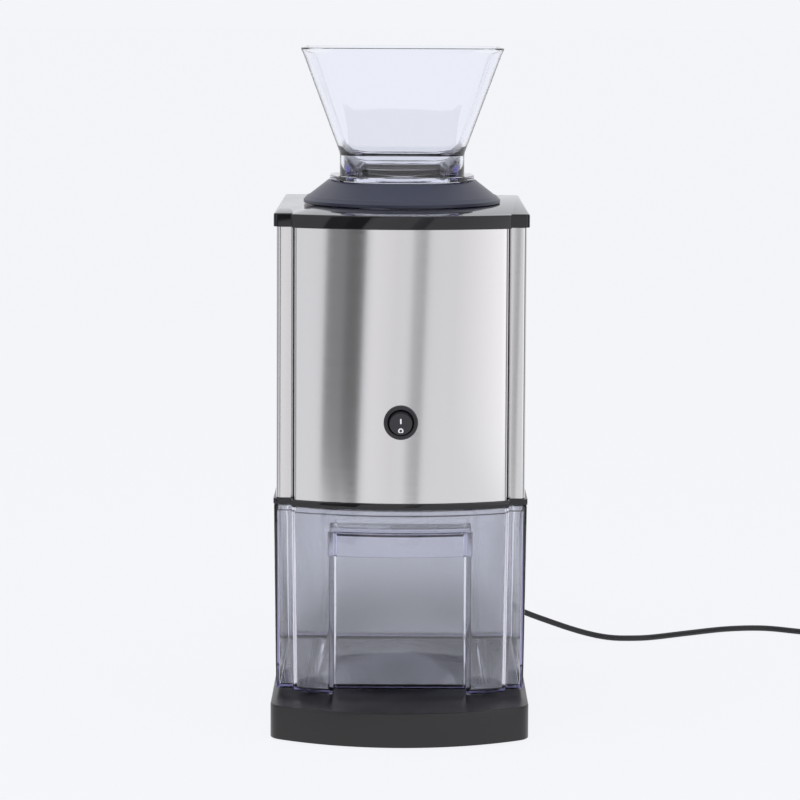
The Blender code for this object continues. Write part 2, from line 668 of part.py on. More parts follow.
def make_chamber():
    walls = prism(rounded_square(CHAMBER_OUT, 0.004, (0, FEED_Y), 2), CHAMBER_BOTTOM, CHAMBER_TOP)
    chamber = piece("crusher_chamber", walls, "food_plastic")
    lip = prism(rounded_square(CHAMBER_OUT + CHAMBER_LIP, 0.006, (0, FEED_Y), 2), CHAMBER_TOP - PLASTIC,
                CHAMBER_TOP)
    boolean(chamber, piece("join_chamber_lip", lip, None), "UNION")
    hollow = prism(rounded_square(CHAMBER_HALF, 0.0025, (0, FEED_Y), 2), CHAMBER_BOTTOM - CUT,
                   CHAMBER_TOP + CUT)
    boolean(chamber, piece("cut_chamber_hollow", hollow, None), "DIFFERENCE")
    bores = rod(SHAFT_R + RUNNING + BUSH_WALL + GAP, -0.06, 0.06, 20)
    boolean(chamber, piece("cut_chamber_bores", bores, None, on_axis(ROTOR_AXIS), TURN_X), "DIFFERENCE")

    ring = [rounded_square(CHAMBER_OUT + CHAMBER_LIP, 0.006, (0, FEED_Y), 2),
            rounded_square(CHAMBER_HALF, 0.0025, (0, FEED_Y), 2)]
    low, high = CHAMBER_TOP + GAP, Z_COVER_TOP - PLASTIC - GAP
    gasket = loft([at_height(ring[0], low), at_height(ring[0], high), at_height(ring[1], high),
                   at_height(ring[1], low)], around=True)
    piece("chamber_gasket", gasket, "silicone")

    bottom = Z_CHASSIS
    top = CHAMBER_BOTTOM - GAP
    flare = CHUTE_FLARE
    chute = loft([
        at_height(rounded_square(CHAMBER_OUT, 0.004, (0, FEED_Y), 2), top),
        at_height(rounded_square(CHAMBER_OUT + flare, 0.006, (0, FEED_Y), 2), bottom),
        at_height(rounded_square(CHAMBER_HALF + flare, 0.004, (0, FEED_Y), 2), bottom),
        at_height(rounded_square(CHAMBER_HALF, 0.0025, (0, FEED_Y), 2), top),
    ], around=True)
    piece("ice_chute", chute, "food_plastic")


def make_comb():
    """Plate on the chamber's rear wall, with a finger in each space between two knives."""
    wall_y = FEED_Y + CHAMBER_HALF - GAP
    plate = box(-CHAMBER_HALF + 0.002, CHAMBER_HALF - 0.002, wall_y - 0.003, wall_y, ROTOR_Z - 0.007,
                ROTOR_Z + 0.007)
    comb = piece("fixed_comb", plate, "machined_steel")
    for k in range(KNIVES - 1):
        x = (k - (KNIVES - 2) / 2) * KNIFE_PITCH
        half = COMB_THICKNESS / 2
        finger = box(x - half, x + half, FEED_Y + HUB_R + 0.003, wall_y - 0.001, ROTOR_Z - 0.005,
                     ROTOR_Z + 0.005)
        boolean(comb, piece(f"join_comb_finger_{k}", finger, None), "UNION")


def knife_ring(x, turn_steps):
    """Points round one knife: hooked teeth on a round body, turned by whole steps."""
    steps = KNIFE_STEPS
    count = steps * KNIFE_POINTS
    points = []
    for k in range(count):
        share = (k - turn_steps) % steps / steps
        r = HUB_R + 0.001 + (ROTOR_R - HUB_R - 0.001) * max(0, 1 - 2.2 * share) ** 0.8
        angle = k * math.tau / count
        points.append((r * math.cos(angle), r * math.sin(angle), x))
    return points


def round_ring(radius, x, count):
    return [(radius * math.cos(k * math.tau / count), radius * math.sin(k * math.tau / count), x)
            for k in range(count)]


def make_rotor(body):
    count = KNIFE_STEPS * KNIFE_POINTS
    half = (KNIVES - 1) / 2 * KNIFE_PITCH + KNIFE_THICKNESS / 2 + 0.003
    rings = [round_ring(HUB_R, -half, count)]
    for k in range(KNIVES):
        x = (k - (KNIVES - 1) / 2) * KNIFE_PITCH
        low, high = x - KNIFE_THICKNESS / 2, x + KNIFE_THICKNESS / 2
        rings += [round_ring(HUB_R, low, count), knife_ring(low, 2 * k), knife_ring(high, 2 * k),
                  round_ring(HUB_R, high, count)]
    rings += [round_ring(HUB_R, half, count), round_ring(SHAFT_R + GAP, half, count),
              round_ring(SHAFT_R + GAP, -half, count)]
    piece("knife_rotor", loft(rings, around=True), "machined_steel", on_axis(ROTOR_AXIS), TURN_X, body)

    left = -CHAMBER_OUT - 0.004
    right = X_BRIDGE + PLATE_GAUGE
    shaft = turned([(0, left), (SHAFT_R - 0.0005, left), (SHAFT_R, left + 0.0005), (SHAFT_R, right - 0.0005),
                    (SHAFT_R - 0.0005, right), (0, right)], 24)
    piece("rotor_shaft", shaft, "machined_steel", on_axis(ROTOR_AXIS), TURN_X, body, smooth=True)

    outline = gear_outline(MODULE_2, TEETH_ROTOR, local_angle(PHASES["rotor"]))
    gear = piece("rotor_gear", prism(outline, X_ROTOR_GEAR, X_ROTOR_GEAR + GEAR_2_WIDTH - 0.001), "white_nylon",
                 on_axis(ROTOR_AXIS), TURN_X, body)
    bore_gear(gear, ROTOR_AXIS, SHAFT_R + GAP, body)


def make_bushes():
    """Bronze bushes: a flanged one in the chamber's left wall, one through the right wall and the gear plate."""
    inner = SHAFT_R + RUNNING
    outer = inner + BUSH_WALL
    flange_r = outer + BUSH_FLANGE
    ends = (("bush_left", -CHAMBER_OUT - BUSH_FLANGE_WIDTH, -CHAMBER_HALF, True),
            ("bush_right", CHAMBER_HALF, X_PLATE + PLATE_GAUGE, False))
    for name, x0, x1, flanged in ends:
        if flanged:
            step = x0 + BUSH_FLANGE_WIDTH - GAP
            profile = [(inner, x0), (flange_r, x0), (flange_r, step), (outer, step), (outer, x1), (inner, x1)]
        else:
            profile = [(inner, x0), (outer, x0), (outer, x1), (inner, x1)]
        piece(name, turned(profile, 20, closed=True), "bronze", on_axis(ROTOR_AXIS), TURN_X, smooth=True)


# --- drive --------------------------------------------------------------------------------------------------

TO_MIDDLE = direction(ROTOR_AXIS, MIDDLE_AXIS)
TO_MOTOR = direction(MIDDLE_AXIS, MOTOR_AXIS)
PHASES = {"rotor": 0.0}
PHASES["middle"] = mesh_phase(PHASES["rotor"], TEETH_ROTOR, TO_MIDDLE, TEETH_SMALL)
PHASES["motor"] = mesh_phase(PHASES["middle"], TEETH_LARGE, TO_MOTOR, TEETH_PINION)


def bore_gear(gear, axis, radius, parent):
    cutter = piece(f"cut_bore_{gear.name}", rod(radius, -0.1, 0.1, 20), None, on_axis(axis), TURN_X, parent)
    boolean(gear, cutter, "DIFFERENCE")


def make_gears(middle_body):
    place = (on_axis(MIDDLE_AXIS), TURN_X, middle_body)
    large = gear_outline(MODULE_1, TEETH_LARGE, local_angle(PHASES["middle"]))
    small = gear_outline(MODULE_2, TEETH_SMALL, local_angle(PHASES["middle"]))
    gear = piece("intermediate_gear", prism(large, X_GEAR_1, X_GEAR_2 - GAP), "white_nylon", *place)
    pinion = prism(small, X_GEAR_2 - 0.002, X_ROTOR_GEAR + GEAR_2_WIDTH - 0.001)
    boolean(gear, piece("join_small_gear", pinion, None, *place), "UNION")
    bore_gear(gear, MIDDLE_AXIS, AXLE_R + RUNNING, middle_body)
    axle = rod(AXLE_R, X_PLATE - 0.0002, X_BRIDGE + PLATE_GAUGE, 16)
    piece("intermediate_axle", axle, "machined_steel", on_axis(MIDDLE_AXIS), TURN_X, smooth=True)


def make_gear_plates():
    """Steel plate that carries the motor and the gears, and the bridge that holds their outer ends."""
    front, rear = MOTOR_Y - MOTOR_R - 0.002, FEED_Y + 0.040
    low, high = Z_CASING + GAP, ROTOR_Z + 0.040
    plate = piece("gear_plate", box(X_PLATE, X_PLATE + PLATE_GAUGE, front, rear, low, high), "zinc_steel")
    bridge_low, bridge_high = MIDDLE_AXIS[1] - 0.020, ROTOR_Z + 0.015
    bridge_front, bridge_rear = MIDDLE_AXIS[0] - 0.052, FEED_Y + 0.040
    bridge = piece("gear_bridge", box(X_BRIDGE, X_BRIDGE + PLATE_GAUGE, bridge_front, bridge_rear, bridge_low,
                                      bridge_high), "zinc_steel")
    posts = ((bridge_front + 0.006, bridge_high - 0.006), (bridge_rear - 0.006, bridge_low + 0.006))
    for k, post in enumerate(posts):
        bm = rod(0.004, X_PLATE + PLATE_GAUGE + GAP, X_BRIDGE + 0.001, 16)
        boolean(bridge, piece(f"join_post_{k}", bm, None, on_axis(post), TURN_X), "UNION")
    holes = ((plate, "rotor", ROTOR_AXIS, SHAFT_R + RUNNING + BUSH_WALL + GAP),
             (plate, "middle", MIDDLE_AXIS, AXLE_R + GAP), (plate, "motor", MOTOR_AXIS, 0.006),
             (bridge, "rotor_end", ROTOR_AXIS, SHAFT_R + RUNNING), (bridge, "middle_end", MIDDLE_AXIS, AXLE_R + GAP))
    for owner, name, axis, radius in holes:
        cutter = piece(f"cut_plate_{name}", rod(radius, X_PLATE - CUT, X_BRIDGE + CUT, 20), None,
                       on_axis(axis), TURN_X)
        boolean(owner, cutter, "DIFFERENCE")


def make_motor(motor_body):
    right = X_PLATE - GAP
    left = right - MOTOR_LENGTH
    wall = 0.0015
    hole = MOTOR_SHAFT_R + RUNNING
    can = [(hole, right), (hole, right - wall), (MOTOR_R - wall, right - wall), (MOTOR_R - wall, left),
           (MOTOR_R, left), (MOTOR_R, right - 0.001), (MOTOR_R - 0.001, right)]
    place = (on_axis(MOTOR_AXIS), TURN_X)
    piece("motor_can", turned(can, 28, closed=True), "zinc_steel", *place, smooth=True)
    cap = [(hole, left - GAP), (0.006, left - GAP), (MOTOR_R - 0.001, left - GAP), (MOTOR_R - 0.001, left - 0.003),
           (0.008, left - 0.003), (0.007, left - 0.006), (hole, left - 0.006)]
    piece("motor_end_cap", turned(cap, 28, closed=True), "grey_plastic", *place, smooth=True)

    tail = left - 0.016
    piece("motor_shaft", rod(MOTOR_SHAFT_R, tail, X_GEAR_2 - GAP, 16), "machined_steel", *place, motor_body,
          smooth=True)
    bore = MOTOR_SHAFT_R + GAP
    core = [(bore, left + 0.006), (0.008, left + 0.006), (0.008, left + 0.016), (ARMATURE_R, left + 0.018),
            (ARMATURE_R, right - 0.012), (0.008, right - 0.008), (bore, right - 0.008)]
    piece("armature", turned(core, 24, closed=True), "copper_winding", *place, motor_body, smooth=True)
    outline = gear_outline(MODULE_1, TEETH_PINION, local_angle(PHASES["motor"]))
    pinion = piece("motor_pinion", prism(outline, X_GEAR_1, X_GEAR_2 - GAP), "machined_steel", *place, motor_body)
    bore_gear(pinion, MOTOR_AXIS, bore, motor_body)
    blades = 7
    steps = 6
    vanes = []
    for k in range(blades * steps):
        r = (0.021, 0.021, 0.019, 0.007, 0.007, 0.007)[k % steps]
        angle = k * math.tau / (blades * steps)
        vanes.append((r * math.cos(angle), r * math.sin(angle)))
    fan = piece("cooling_fan", prism(vanes, tail + 0.001, left - 0.008), "black_satin", *place, motor_body)
    bore_gear(fan, MOTOR_AXIS, bore, motor_body)
    for k, side in enumerate((-1, 1)):
        spot = (MOTOR_AXIS[0] + side * 0.012, MOTOR_AXIS[1] - 0.012)
        head = turned([(0, 0), (0.0028, 0), (0.0028, 0.0016), (0, 0.0022)], 12)
        piece(f"motor_screw_{k + 1}", head, "zinc_steel", on_axis(spot, X_PLATE + PLATE_GAUGE + GAP), TURN_X,
              smooth=True)


# --- switches and leads -------------------------------------------------------------------------------------

def make_power_switch():
    """Round rocker switch clipped into the front panel, standing in OFF, with its lower half pressed in."""
    pocket = ROCKER_R + SLIDING
    depth = POCKET_DEPTH
    profile = [(0, -SWITCH_DEPTH), (SWITCH_R, -SWITCH_DEPTH), (SWITCH_R, GAP), (BEZEL_R, GAP),
               (BEZEL_R, BEZEL_PROUD - 0.0006), (BEZEL_R - 0.0008, BEZEL_PROUD), (pocket + 0.0006, BEZEL_PROUD),
               (pocket, BEZEL_PROUD - 0.0006), (pocket, -depth), (0, -depth)]
    piece("switch_housing", turned(profile, 32), "black_satin", (0, SKIN_Y, SWITCH_Z), TURN_FRONT, smooth=True)
    pivot = empty("rocker_pivot", (0, SKIN_Y, SWITCH_Z))
    face, back = ROCKER_PROUD, -ROCKER_BACK
    zone = [(math.sqrt(ROCKER_R**2 - z**2), z) for z in np.linspace(back, face, 6)]
    rocker = turned([(0, back), *zone, (0, face)], 28)
    tilt = (math.pi / 2 + ROCKER_TILT, 0, 0)
    piece("switch_rocker", rocker, "black_gloss", (0, SKIN_Y, SWITCH_Z), tilt, pivot, smooth=True)


def make_interlock():
    """Switch under the feed collar. The hopper's flange holds its plunger down."""
    top = Z_COVER - INTERLOCK_DROP
    case = box(PLUNGER_X - INTERLOCK_LEFT, PLUNGER_X + INTERLOCK_RIGHT, FEED_Y - INTERLOCK_HALF,
               FEED_Y + INTERLOCK_HALF, top - INTERLOCK_HEIGHT, top)
    case = piece("interlock_switch", case, "black_satin")
    well = piece("cut_plunger_well", rod(PLUNGER_R + RUNNING, top - PLUNGER_WELL, top + CUT, 12), None,
                 (PLUNGER_X, FEED_Y, 0))
    boolean(case, well, "DIFFERENCE")
    body = empty("plunger_body", (PLUNGER_X, FEED_Y, top))
    low, high = top - PLUNGER_REACH, Z_FLANGE - GAP
    pin = turned([(0, low), (PLUNGER_R, low), (PLUNGER_R, high - 0.0008), (PLUNGER_R - 0.0008, high),
                  (0, high)], 12)
    piece("interlock_plunger", pin, "white_nylon", (PLUNGER_X, FEED_Y, 0), parent=body, smooth=True)


def smooth_route(points, spacing):
    """Points a spacing apart along a smooth curve through the given ones."""
    ends = [Vector(p) for p in points]
    ends = [2 * ends[0] - ends[1], *ends, 2 * ends[-1] - ends[-2]]
    fine = []
    for a, b, c, d in zip(ends, ends[1:], ends[2:], ends[3:]):
        for t in np.linspace(0, 1, 30, endpoint=False):
            fine.append(0.5 * (2 * b + (c - a) * t + (2 * a - 5 * b + 4 * c - d) * t**2
                               + (3 * b - a - 3 * c + d) * t**3))
    fine.append(ends[-2])
    lengths = [0.0]
    for a, b in zip(fine, fine[1:]):
        lengths.append(lengths[-1] + (b - a).length)
    count = max(2, round(lengths[-1] / spacing))
    table = np.array(fine)
    spots = np.linspace(0, lengths[-1], count + 1)
    return [tuple(float(np.interp(s, lengths, table[:, axis])) for axis in range(3)) for s in spots]


def cable(name, points, radius, finish, resolution):
    curve = bpy.data.curves.new(name, "CURVE")
    curve.dimensions = "3D"
    curve.bevel_depth = radius
    curve.bevel_resolution = resolution
    curve.use_fill_caps = True
    spline = curve.splines.new("POLY")
    spline.points.add(len(points) - 1)
    for spot, point in zip(spline.points, points):
        spot.co = (*point, 1)
    curve.materials.append(finish_material(finish))
    obj = bpy.data.objects.new(name, curve)
    bpy.context.scene.collection.objects.link(obj)


def make_leads():
    block = box(CORD_X - 0.016, CORD_X + 0.012, PANEL_Y - 0.030, PANEL_Y - 0.014, CORD_Z - 0.006, CORD_Z + 0.010)
    piece("terminal_block", block, "white_nylon")
    y_gap = MOTOR_Y - MOTOR_R - 0.010
    switch_y = SKIN_Y + SWITCH_DEPTH + 0.0012
    route = [(CORD_X - 0.010, LEAD_Y, CORD_Z + 0.0125), (CORD_X - 0.012, LEAD_Y, CORD_Z + 0.030),
             (CORD_X - 0.050, LEAD_Y, Z_CHASSIS - 0.035), (LEAD_X, LEAD_Y, Z_CHASSIS - 0.012),
             (LEAD_X, LEAD_Y, Z_CASING + 0.012), (LEAD_X, LEAD_Y - 0.010, Z_CASING + 0.026),
             (LEAD_X, FEED_Y, Z_CASING + 0.032), (LEAD_X, -0.010, Z_CASING + 0.036),
             (LEAD_X + 0.008, y_gap + 0.006, SWITCH_Z - 0.012), (-0.030, y_gap, SWITCH_Z - 0.004),
             (-0.012, y_gap + 0.001, SWITCH_Z), (-0.003, switch_y + 0.0084, SWITCH_Z), (0, switch_y, SWITCH_Z)]
    cable("internal_lead", smooth_route(route, 0.012), LEAD_R, "white_nylon", 2)


def make_gland():
    """Cord anchorage in the rear panel: a flange outside, a waist through the sheet, and a tapered relief."""
    inside = -REAR_GAUGE - 0.006
    start = CORD_ROUTE[0][1] - PANEL_Y - GAP
    profile = [(0, inside), (GLAND_WAIST_R, inside), (GLAND_WAIST_R, GAP), (GLAND_R, GAP),
               (GLAND_R, 0.0020), (GLAND_R - 0.0012, 0.0026), (CORD_R + 0.0018, 0.004), (CORD_R + 0.0005, start),
               (0, start)]
    piece("cord_gland", turned(profile, 20), "cord_pvc", (CORD_X, PANEL_Y, CORD_Z), TURN_BACK, smooth=True)


def make_cord():
    cable("power_cord", smooth_route(CORD_ROUTE, 2.2 * 2 * CORD_R), CORD_R, "cord_pvc", 2)
    x, y = COIL_CENTRE
    inner, outer = COIL_R - COIL_HALF_WIDTH, COIL_R + COIL_HALF_WIDTH
    soft = 0.0015
    profile = [(inner, soft), (inner + soft, 0), (outer - soft, 0), (outer, soft), (outer, COIL_HEIGHT - soft),
               (outer - soft, COIL_HEIGHT), (inner + soft, COIL_HEIGHT), (inner, COIL_HEIGHT - soft)]
    piece("cord_coil", turned(profile, 36, closed=True), "cord_pvc", (x, y, 0), smooth=True)


def make_plug():
    """Flat two-pin plug lying beside the coil."""
    sections = ((0, 0.0042, 0.0042), (0.006, 0.0052, 0.0048), (0.014, 0.0150, 0.0068), (0.030, 0.0175, 0.0068),
                (0.036, 0.0135, 0.0068))
    rings = []
    for along, half_x, half_y in sections:
        outline = rounded_box(half_x, half_y, min(half_x, half_y) * 0.6, count=3)
        rings.append(at_height(outline, along))
    place = (PLUG_AT, PLUG_TURN)
    plug = piece("power_plug", loft(rings), "cord_pvc", *place, smooth=True)
    for k, side in enumerate((-1, 1)):
        pin = turned([(0, 0.030), (0.002, 0.030), (0.002, 0.0540), (0.0012, 0.0550), (0, 0.0550)], 12)
        for vert in pin.verts:
            vert.co.x += side * 0.0095
        boolean(plug, piece(f"join_plug_pin_{k}", pin, None, *place), "UNION")


def main():
    clear_scene()
    make_base()
    make_column()
    make_rear_panel()
    make_chassis()
    make_bin()
    make_side_panels()
    make_front_panel()
    make_cover()
    make_collar()
    make_hopper()
    make_chamber()
    make_comb()
    make_rotor(empty("rotor_axis", on_axis(ROTOR_AXIS)))
    make_bushes()
    make_gears(empty("intermediate_axis", on_axis(MIDDLE_AXIS)))
    make_gear_plates()
    make_motor(empty("motor_axis", on_axis(MOTOR_AXIS)))
    make_power_switch()
    make_interlock()
    make_leads()
    make_gland()
    make_cord()
    make_plug()


if __name__ == "__main__":
    main()
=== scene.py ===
"""Countertop electric ice crusher: the visible model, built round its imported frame.

Frame: +Z up, the front faces -Y, +X is the right side seen from the front. Metres throughout.
"""

import math

import bmesh
import bpy
import numpy as np
from bpy.props import FloatProperty, FloatVectorProperty, PointerProperty
from bpy.types import Operator, Panel, PropertyGroup
from mathutils import Euler, Matrix, Vector


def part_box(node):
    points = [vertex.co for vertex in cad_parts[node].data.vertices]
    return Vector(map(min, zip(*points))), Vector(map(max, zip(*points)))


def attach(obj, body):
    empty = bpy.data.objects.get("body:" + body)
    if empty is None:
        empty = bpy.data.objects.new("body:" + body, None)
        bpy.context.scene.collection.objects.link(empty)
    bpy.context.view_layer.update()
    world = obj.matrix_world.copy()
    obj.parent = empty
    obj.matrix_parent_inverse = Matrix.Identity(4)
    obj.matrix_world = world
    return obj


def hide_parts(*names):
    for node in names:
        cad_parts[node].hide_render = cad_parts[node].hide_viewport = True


bl_info = {
    "name": "Ice crusher",
    "version": (1, 0, 0),
    "blender": (4, 5, 0),
    "location": "3D View > Sidebar > Ice crusher",
    "description": "Builds a countertop electric ice crusher round its mechanical frame",
    "category": "Add Mesh",
}

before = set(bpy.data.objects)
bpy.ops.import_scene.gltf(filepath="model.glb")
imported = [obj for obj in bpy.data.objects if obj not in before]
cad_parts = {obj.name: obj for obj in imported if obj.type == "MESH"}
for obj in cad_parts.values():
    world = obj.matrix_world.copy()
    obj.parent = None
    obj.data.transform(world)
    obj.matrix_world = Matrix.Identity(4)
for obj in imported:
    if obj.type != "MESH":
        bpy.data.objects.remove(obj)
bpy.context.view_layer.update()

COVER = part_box("top_cover")
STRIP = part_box("chassis_plate")
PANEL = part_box("front_panel")
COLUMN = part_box("rear_column")
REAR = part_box("rear_panel")
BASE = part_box("base_shell")
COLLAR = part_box("feed_collar")
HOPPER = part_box("ice_hopper")
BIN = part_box("ice_bin")
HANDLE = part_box("bin_handle")
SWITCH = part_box("switch_housing")
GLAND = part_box("cord_gland")

COVER_HALF = COVER[1].x
FEED_Y = (COLLAR[0].y + COLLAR[1].y) / 2
SWITCH_Z = (SWITCH[0].z + SWITCH[1].z) / 2
SEAT_GAP = 0.0003               # between two pieces that touch
THIN = 0.0003                   # the least rounding of a moulded edge
OVERREACH = 0.01                # how far a cutter reaches past the face that it opens
FEED_RADIUS = 0.0425            # the round opening through cover and collar
PIN_CLEARANCE = 0.0005          # round the interlock's plunger
CHUTE_CLEARANCE = 0.0005
LEAD_RADIUS = 0.0016
LEAD_HOLE_RADIUS = 0.006
LEAD_Y = 0.104                  # where the internal lead climbs through the strip
GLAND_HOLE_RADIUS = 0.0055
VENTS = 7                       # cooling slots in the rear panel
VENT_HALF = 0.032
VENT_HEIGHT = 0.004
VENT_PITCH = 0.010
VENT_FIRST = 0.192              # lower edge of the lowest slot
REAR_CORNER_RADIUS = 0.003
RIM_ROUNDING = 0.0009           # the funnel's rim
DISH_HEIGHT = 0.0033            # the rocker's face at its middle, ahead of the pivot
DISH_RISE = 0.00035             # from there to its top and bottom
POCKET_DEPTH = 0.0095           # behind the rocker
PIN_DISTANCE = 0.0095           # the plug's pins, from its middle

TURN_FRONT = (math.pi / 2, 0, 0)        # local Z lies along -Y
TURN_BACK = (-math.pi / 2, 0, 0)        # local Z lies along +Y
HERE = ((0, 0, 0), (0, 0, 0))           # the place and turn of a cutter drawn where it cuts

# The cord's way from the strain relief to the coil. It meets the coil's outer turn in a tangent.
CORD_ROUTE = (
    (0.0500, 0.1560, 0.0500), (0.0506, 0.1680, 0.0494), (0.0535, 0.1800, 0.0468), (0.0620, 0.1900, 0.0405),
    (0.0770, 0.1955, 0.0325), (0.0960, 0.1985, 0.0235), (0.1130, 0.2020, 0.0165), (0.1330, 0.2055, 0.0090),
    (0.1500, 0.2065, 0.0042), (0.1640, 0.2040, 0.0025), (0.1780, 0.2028, 0.0024), (0.1950, 0.2062, 0.0024),
    (0.2250, 0.2220, 0.0024), (0.2570, 0.2375, 0.0024), (0.2860, 0.2410, 0.0024), (0.3114, 0.2303, 0.0024),
    (0.3330, 0.2190, 0.0024), (0.3556, 0.2100, 0.0024),
)
COIL_CENTRE = (0.3686, 0.1786)
COIL_START = math.radians(78)   # where the cord meets the coil; it winds clockwise, seen from above
# Turn, radius and height along the winding: a turn and a half on each of two layers, and one turn on top
COIL_WAY = (
    (0.00, 0.0286, 0.0028), (0.75, 0.0286, 0.0028), (1.00, 0.0240, 0.0028), (1.56, 0.0240, 0.0028),
    (1.75, 0.0240, 0.0076), (2.32, 0.0240, 0.0076), (2.56, 0.0286, 0.0076), (3.15, 0.0286, 0.0076),
    (3.35, 0.0286, 0.0124), (4.341, 0.0286, 0.0124),
)
PLUG_AT = (0.3700, 0.1376, 0.0072)
PLUG_TURN = (math.radians(-90), 0, math.radians(135))


# --- colours and settings -------------------------------------------------------------------------

def linear(code):
    """The linear colour of an sRGB hex code."""
    channels = [int(code[k:k + 2], 16) / 255 for k in (1, 3, 5)]
    return tuple(c / 12.92 if c <= 0.04045 else ((c + 0.055) / 1.055) ** 2.4 for c in channels)


def length(name, description, default):
    return FloatProperty(name=name, description=description, default=default, min=0, unit="LENGTH",
                         precision=4)


def angle(name, description, degrees):
    return FloatProperty(name=name, description=description, default=math.radians(degrees), subtype="ANGLE")


def colour(name, description, code):
    return FloatVectorProperty(name=name, description=description, default=linear(code), size=3, min=0, max=1,
                               subtype="COLOR")


class HousingSettings(PropertyGroup):
    step_half: length("Half width of the bow", "From the middle to the step on each side", 0.0735)
    step: length("Step", "How far the bowed middle stands ahead of the corners", 0.008)
    bow: length("Bow", "Rise of the bow over its width", 0.015)
    corner_radius: length("Corner radius", "Outer vertical edges of the housing", 0.003)
    notch_radius: length("Notch radius", "Vertical edges of the step", 0.0009)
    sheet: length("Sheet", "Thickness of the steel sheet", 0.001)
    fold: length("Fold", "Width of the sheets' folded edges", 0.008)
    fold_radius: length("Fold radius", "Outer radius of a fold in the sheet", 0.0028)
    wall: length("Moulded wall", "Thickness of the cover, the base and the collar", 0.0025)
    edge: length("Moulded edge", "Rounding of the top edges of cover and base", 0.0011)


class BaseSettings(PropertyGroup):
    bow: length("Bow", "Rise of the base's bowed front", 0.025)
    corner_radius: length("Corner radius", "Where the bowed front meets the sides", 0.012)
    back_radius: length("Rear radius", "Rear vertical edges", 0.005)


class BinSettings(PropertyGroup):
    wall: length("Wall", "Thickness of the clear bin", 0.0025)
    draft: length("Draft", "How much each side narrows towards the bottom", 0.0016)
    inset: length("Inset", "From the cover's outline to the bin's rim", 0.0004)
    recess_half: length("Recess half width", "Finger recess under the handle", 0.0445)
    recess_depth: length("Recess depth", "Finger recess, from the front's middle", 0.023)
    lip: length("Lip", "Extra thickness inside the rim", 0.0008)
    lip_height: length("Lip height", "Height of the thicker rim", 0.0035)
    handle_thickness: length("Handle thickness", "The bar across the recess", 0.0027)
    skid_x: length("Skid distance", "From the middle to each skid", 0.060)
    skid_width: length("Skid width", "Each of the two skids", 0.006)


class HopperSettings(PropertyGroup):
    wall: length("Wall", "Thickness of the clear funnel", 0.0025)
    rim_radius: length("Rim radius", "Corners at the rim", 0.022)
    skirt_half: length("Skirt half width", "Upright lower part, from its middle", 0.0435)
    skirt_radius: length("Skirt radius", "Corners of the skirt", 0.020)
    skirt_height: length("Skirt height", "From under the flange to the flare", 0.0195)
    flange_half: length("Flange half width", "The foot on the collar", 0.0510)
    flange_thickness: length("Flange thickness", "The foot on the collar", 0.0035)
    throat_half: length("Throat half width", "The opening to the knives", 0.0300)
    throat_radius: length("Throat radius", "Corners of the throat", 0.010)
    sag: length("Sag", "How much lower the bowl is in the middle of each side than at its corners", 0.0033)


class SwitchSettings(PropertyGroup):
    bezel_radius: length("Bezel radius", "Rim of the round switch", 0.0115)
    bezel_height: length("Bezel height", "How far the rim stands proud", 0.0022)
    body_radius: length("Body radius", "The part behind the panel", 0.0100)
    rocker_radius: length("Rocker radius", "The part that a finger presses", 0.0081)
    tilt: angle("Tilt", "How far the rocker leans at rest", 10)
    mark_radius: length("Mark radius", "Outer radius of the ring mark", 0.00180)


class CordSettings(PropertyGroup):
    diameter: length("Diameter", "Of the mains cord", 0.0044)
    length: length("Length", "From the strain relief to the plug", 1.14)


class FinishColours(PropertyGroup):
    steel: colour("Steel", "Brushed stainless steel", "#D9D8D8")
    # Painted shade: the column's steel is the casing's steel made a little darker, for the shade behind the bin
    column: colour("Column", "Steel of the column behind the bin", "#CFCFD2")
    cover: colour("Cover", "Glossy black plastic", "#0C0C10")
    collar: colour("Collar", "Satin black plastic", "#2B2E40")
    base: colour("Base", "Charcoal plastic", "#110E10")
    clear: colour("Clear", "Surface tint of the clear plastic", "#FBFCFF")
    cord: colour("Cord", "Flexible PVC", "#0B0B10")


class StageSettings(PropertyGroup):
    background: colour("Background", "Floor and backdrop", "#F4F5F9")
    camera_distance: length("Camera distance", "From the origin, ahead of the front", 1.9806)
    camera_height: length("Camera height", "Above the floor", 0.4903)
    lens: FloatProperty(name="Lens", description="Focal length in millimetres", default=128.77)
    roll: angle("Roll", "How far the camera leans to its side", 0.28)
    pitch: angle("Pitch", "How far the camera looks down", 4.854)


SETTINGS = {
    "housing": HousingSettings, "base": BaseSettings, "bin": BinSettings, "hopper": HopperSettings,
    "switch": SwitchSettings, "cord": CordSettings, "colours": FinishColours, "stage": StageSettings,
}


def settings(name):
    return getattr(bpy.context.scene, f"crusher_{name}")


# --- materials ------------------------------------------------------------------------------------

def per_mm(size):
    """Texture scale, on coordinates in metres, of a pattern whose grain is this many millimetres."""
    return 1000 / size


def add_node(tree, kind, properties=None, values=None, links=None):
    """Adds a node. properties are its own settings, values its sockets' numbers, links their sources."""
    made = tree.nodes.new(kind)
    for name, value in (properties or {}).items():
        setattr(made, name, value)
    for socket, value in (values or {}).items():
        made.inputs[socket].default_value = value
    for socket, source in (links or {}).items():
        tree.links.new(source, made.inputs[socket])
    return made


def start_material(name, base, roughness, **sockets):
    """A material with its constants on the shader's own sockets. Returns it with its tree and shader."""
    made = bpy.data.materials.new(name)
    made.use_nodes = True
    tree = made.node_tree
    shader = tree.nodes["Principled BSDF"]
    shader.inputs["Base Color"].default_value = (*base, 1)
    shader.inputs["Roughness"].default_value = roughness
    for socket, value in sockets.items():
        shader.inputs[socket.replace("_", " ")].default_value = value
    made.diffuse_color = (*base, 1)
    return made, tree, shader


def texture_place(tree, stretch=(1, 1, 1)):
    """Coordinates in the piece's own metres, drawn out by stretch."""
    coordinates = add_node(tree, "ShaderNodeTexCoord")
    mapping = add_node(tree, "ShaderNodeMapping", values={"Scale": stretch},
                       links={"Vector": coordinates.outputs["Object"]})
    return mapping.outputs["Vector"]


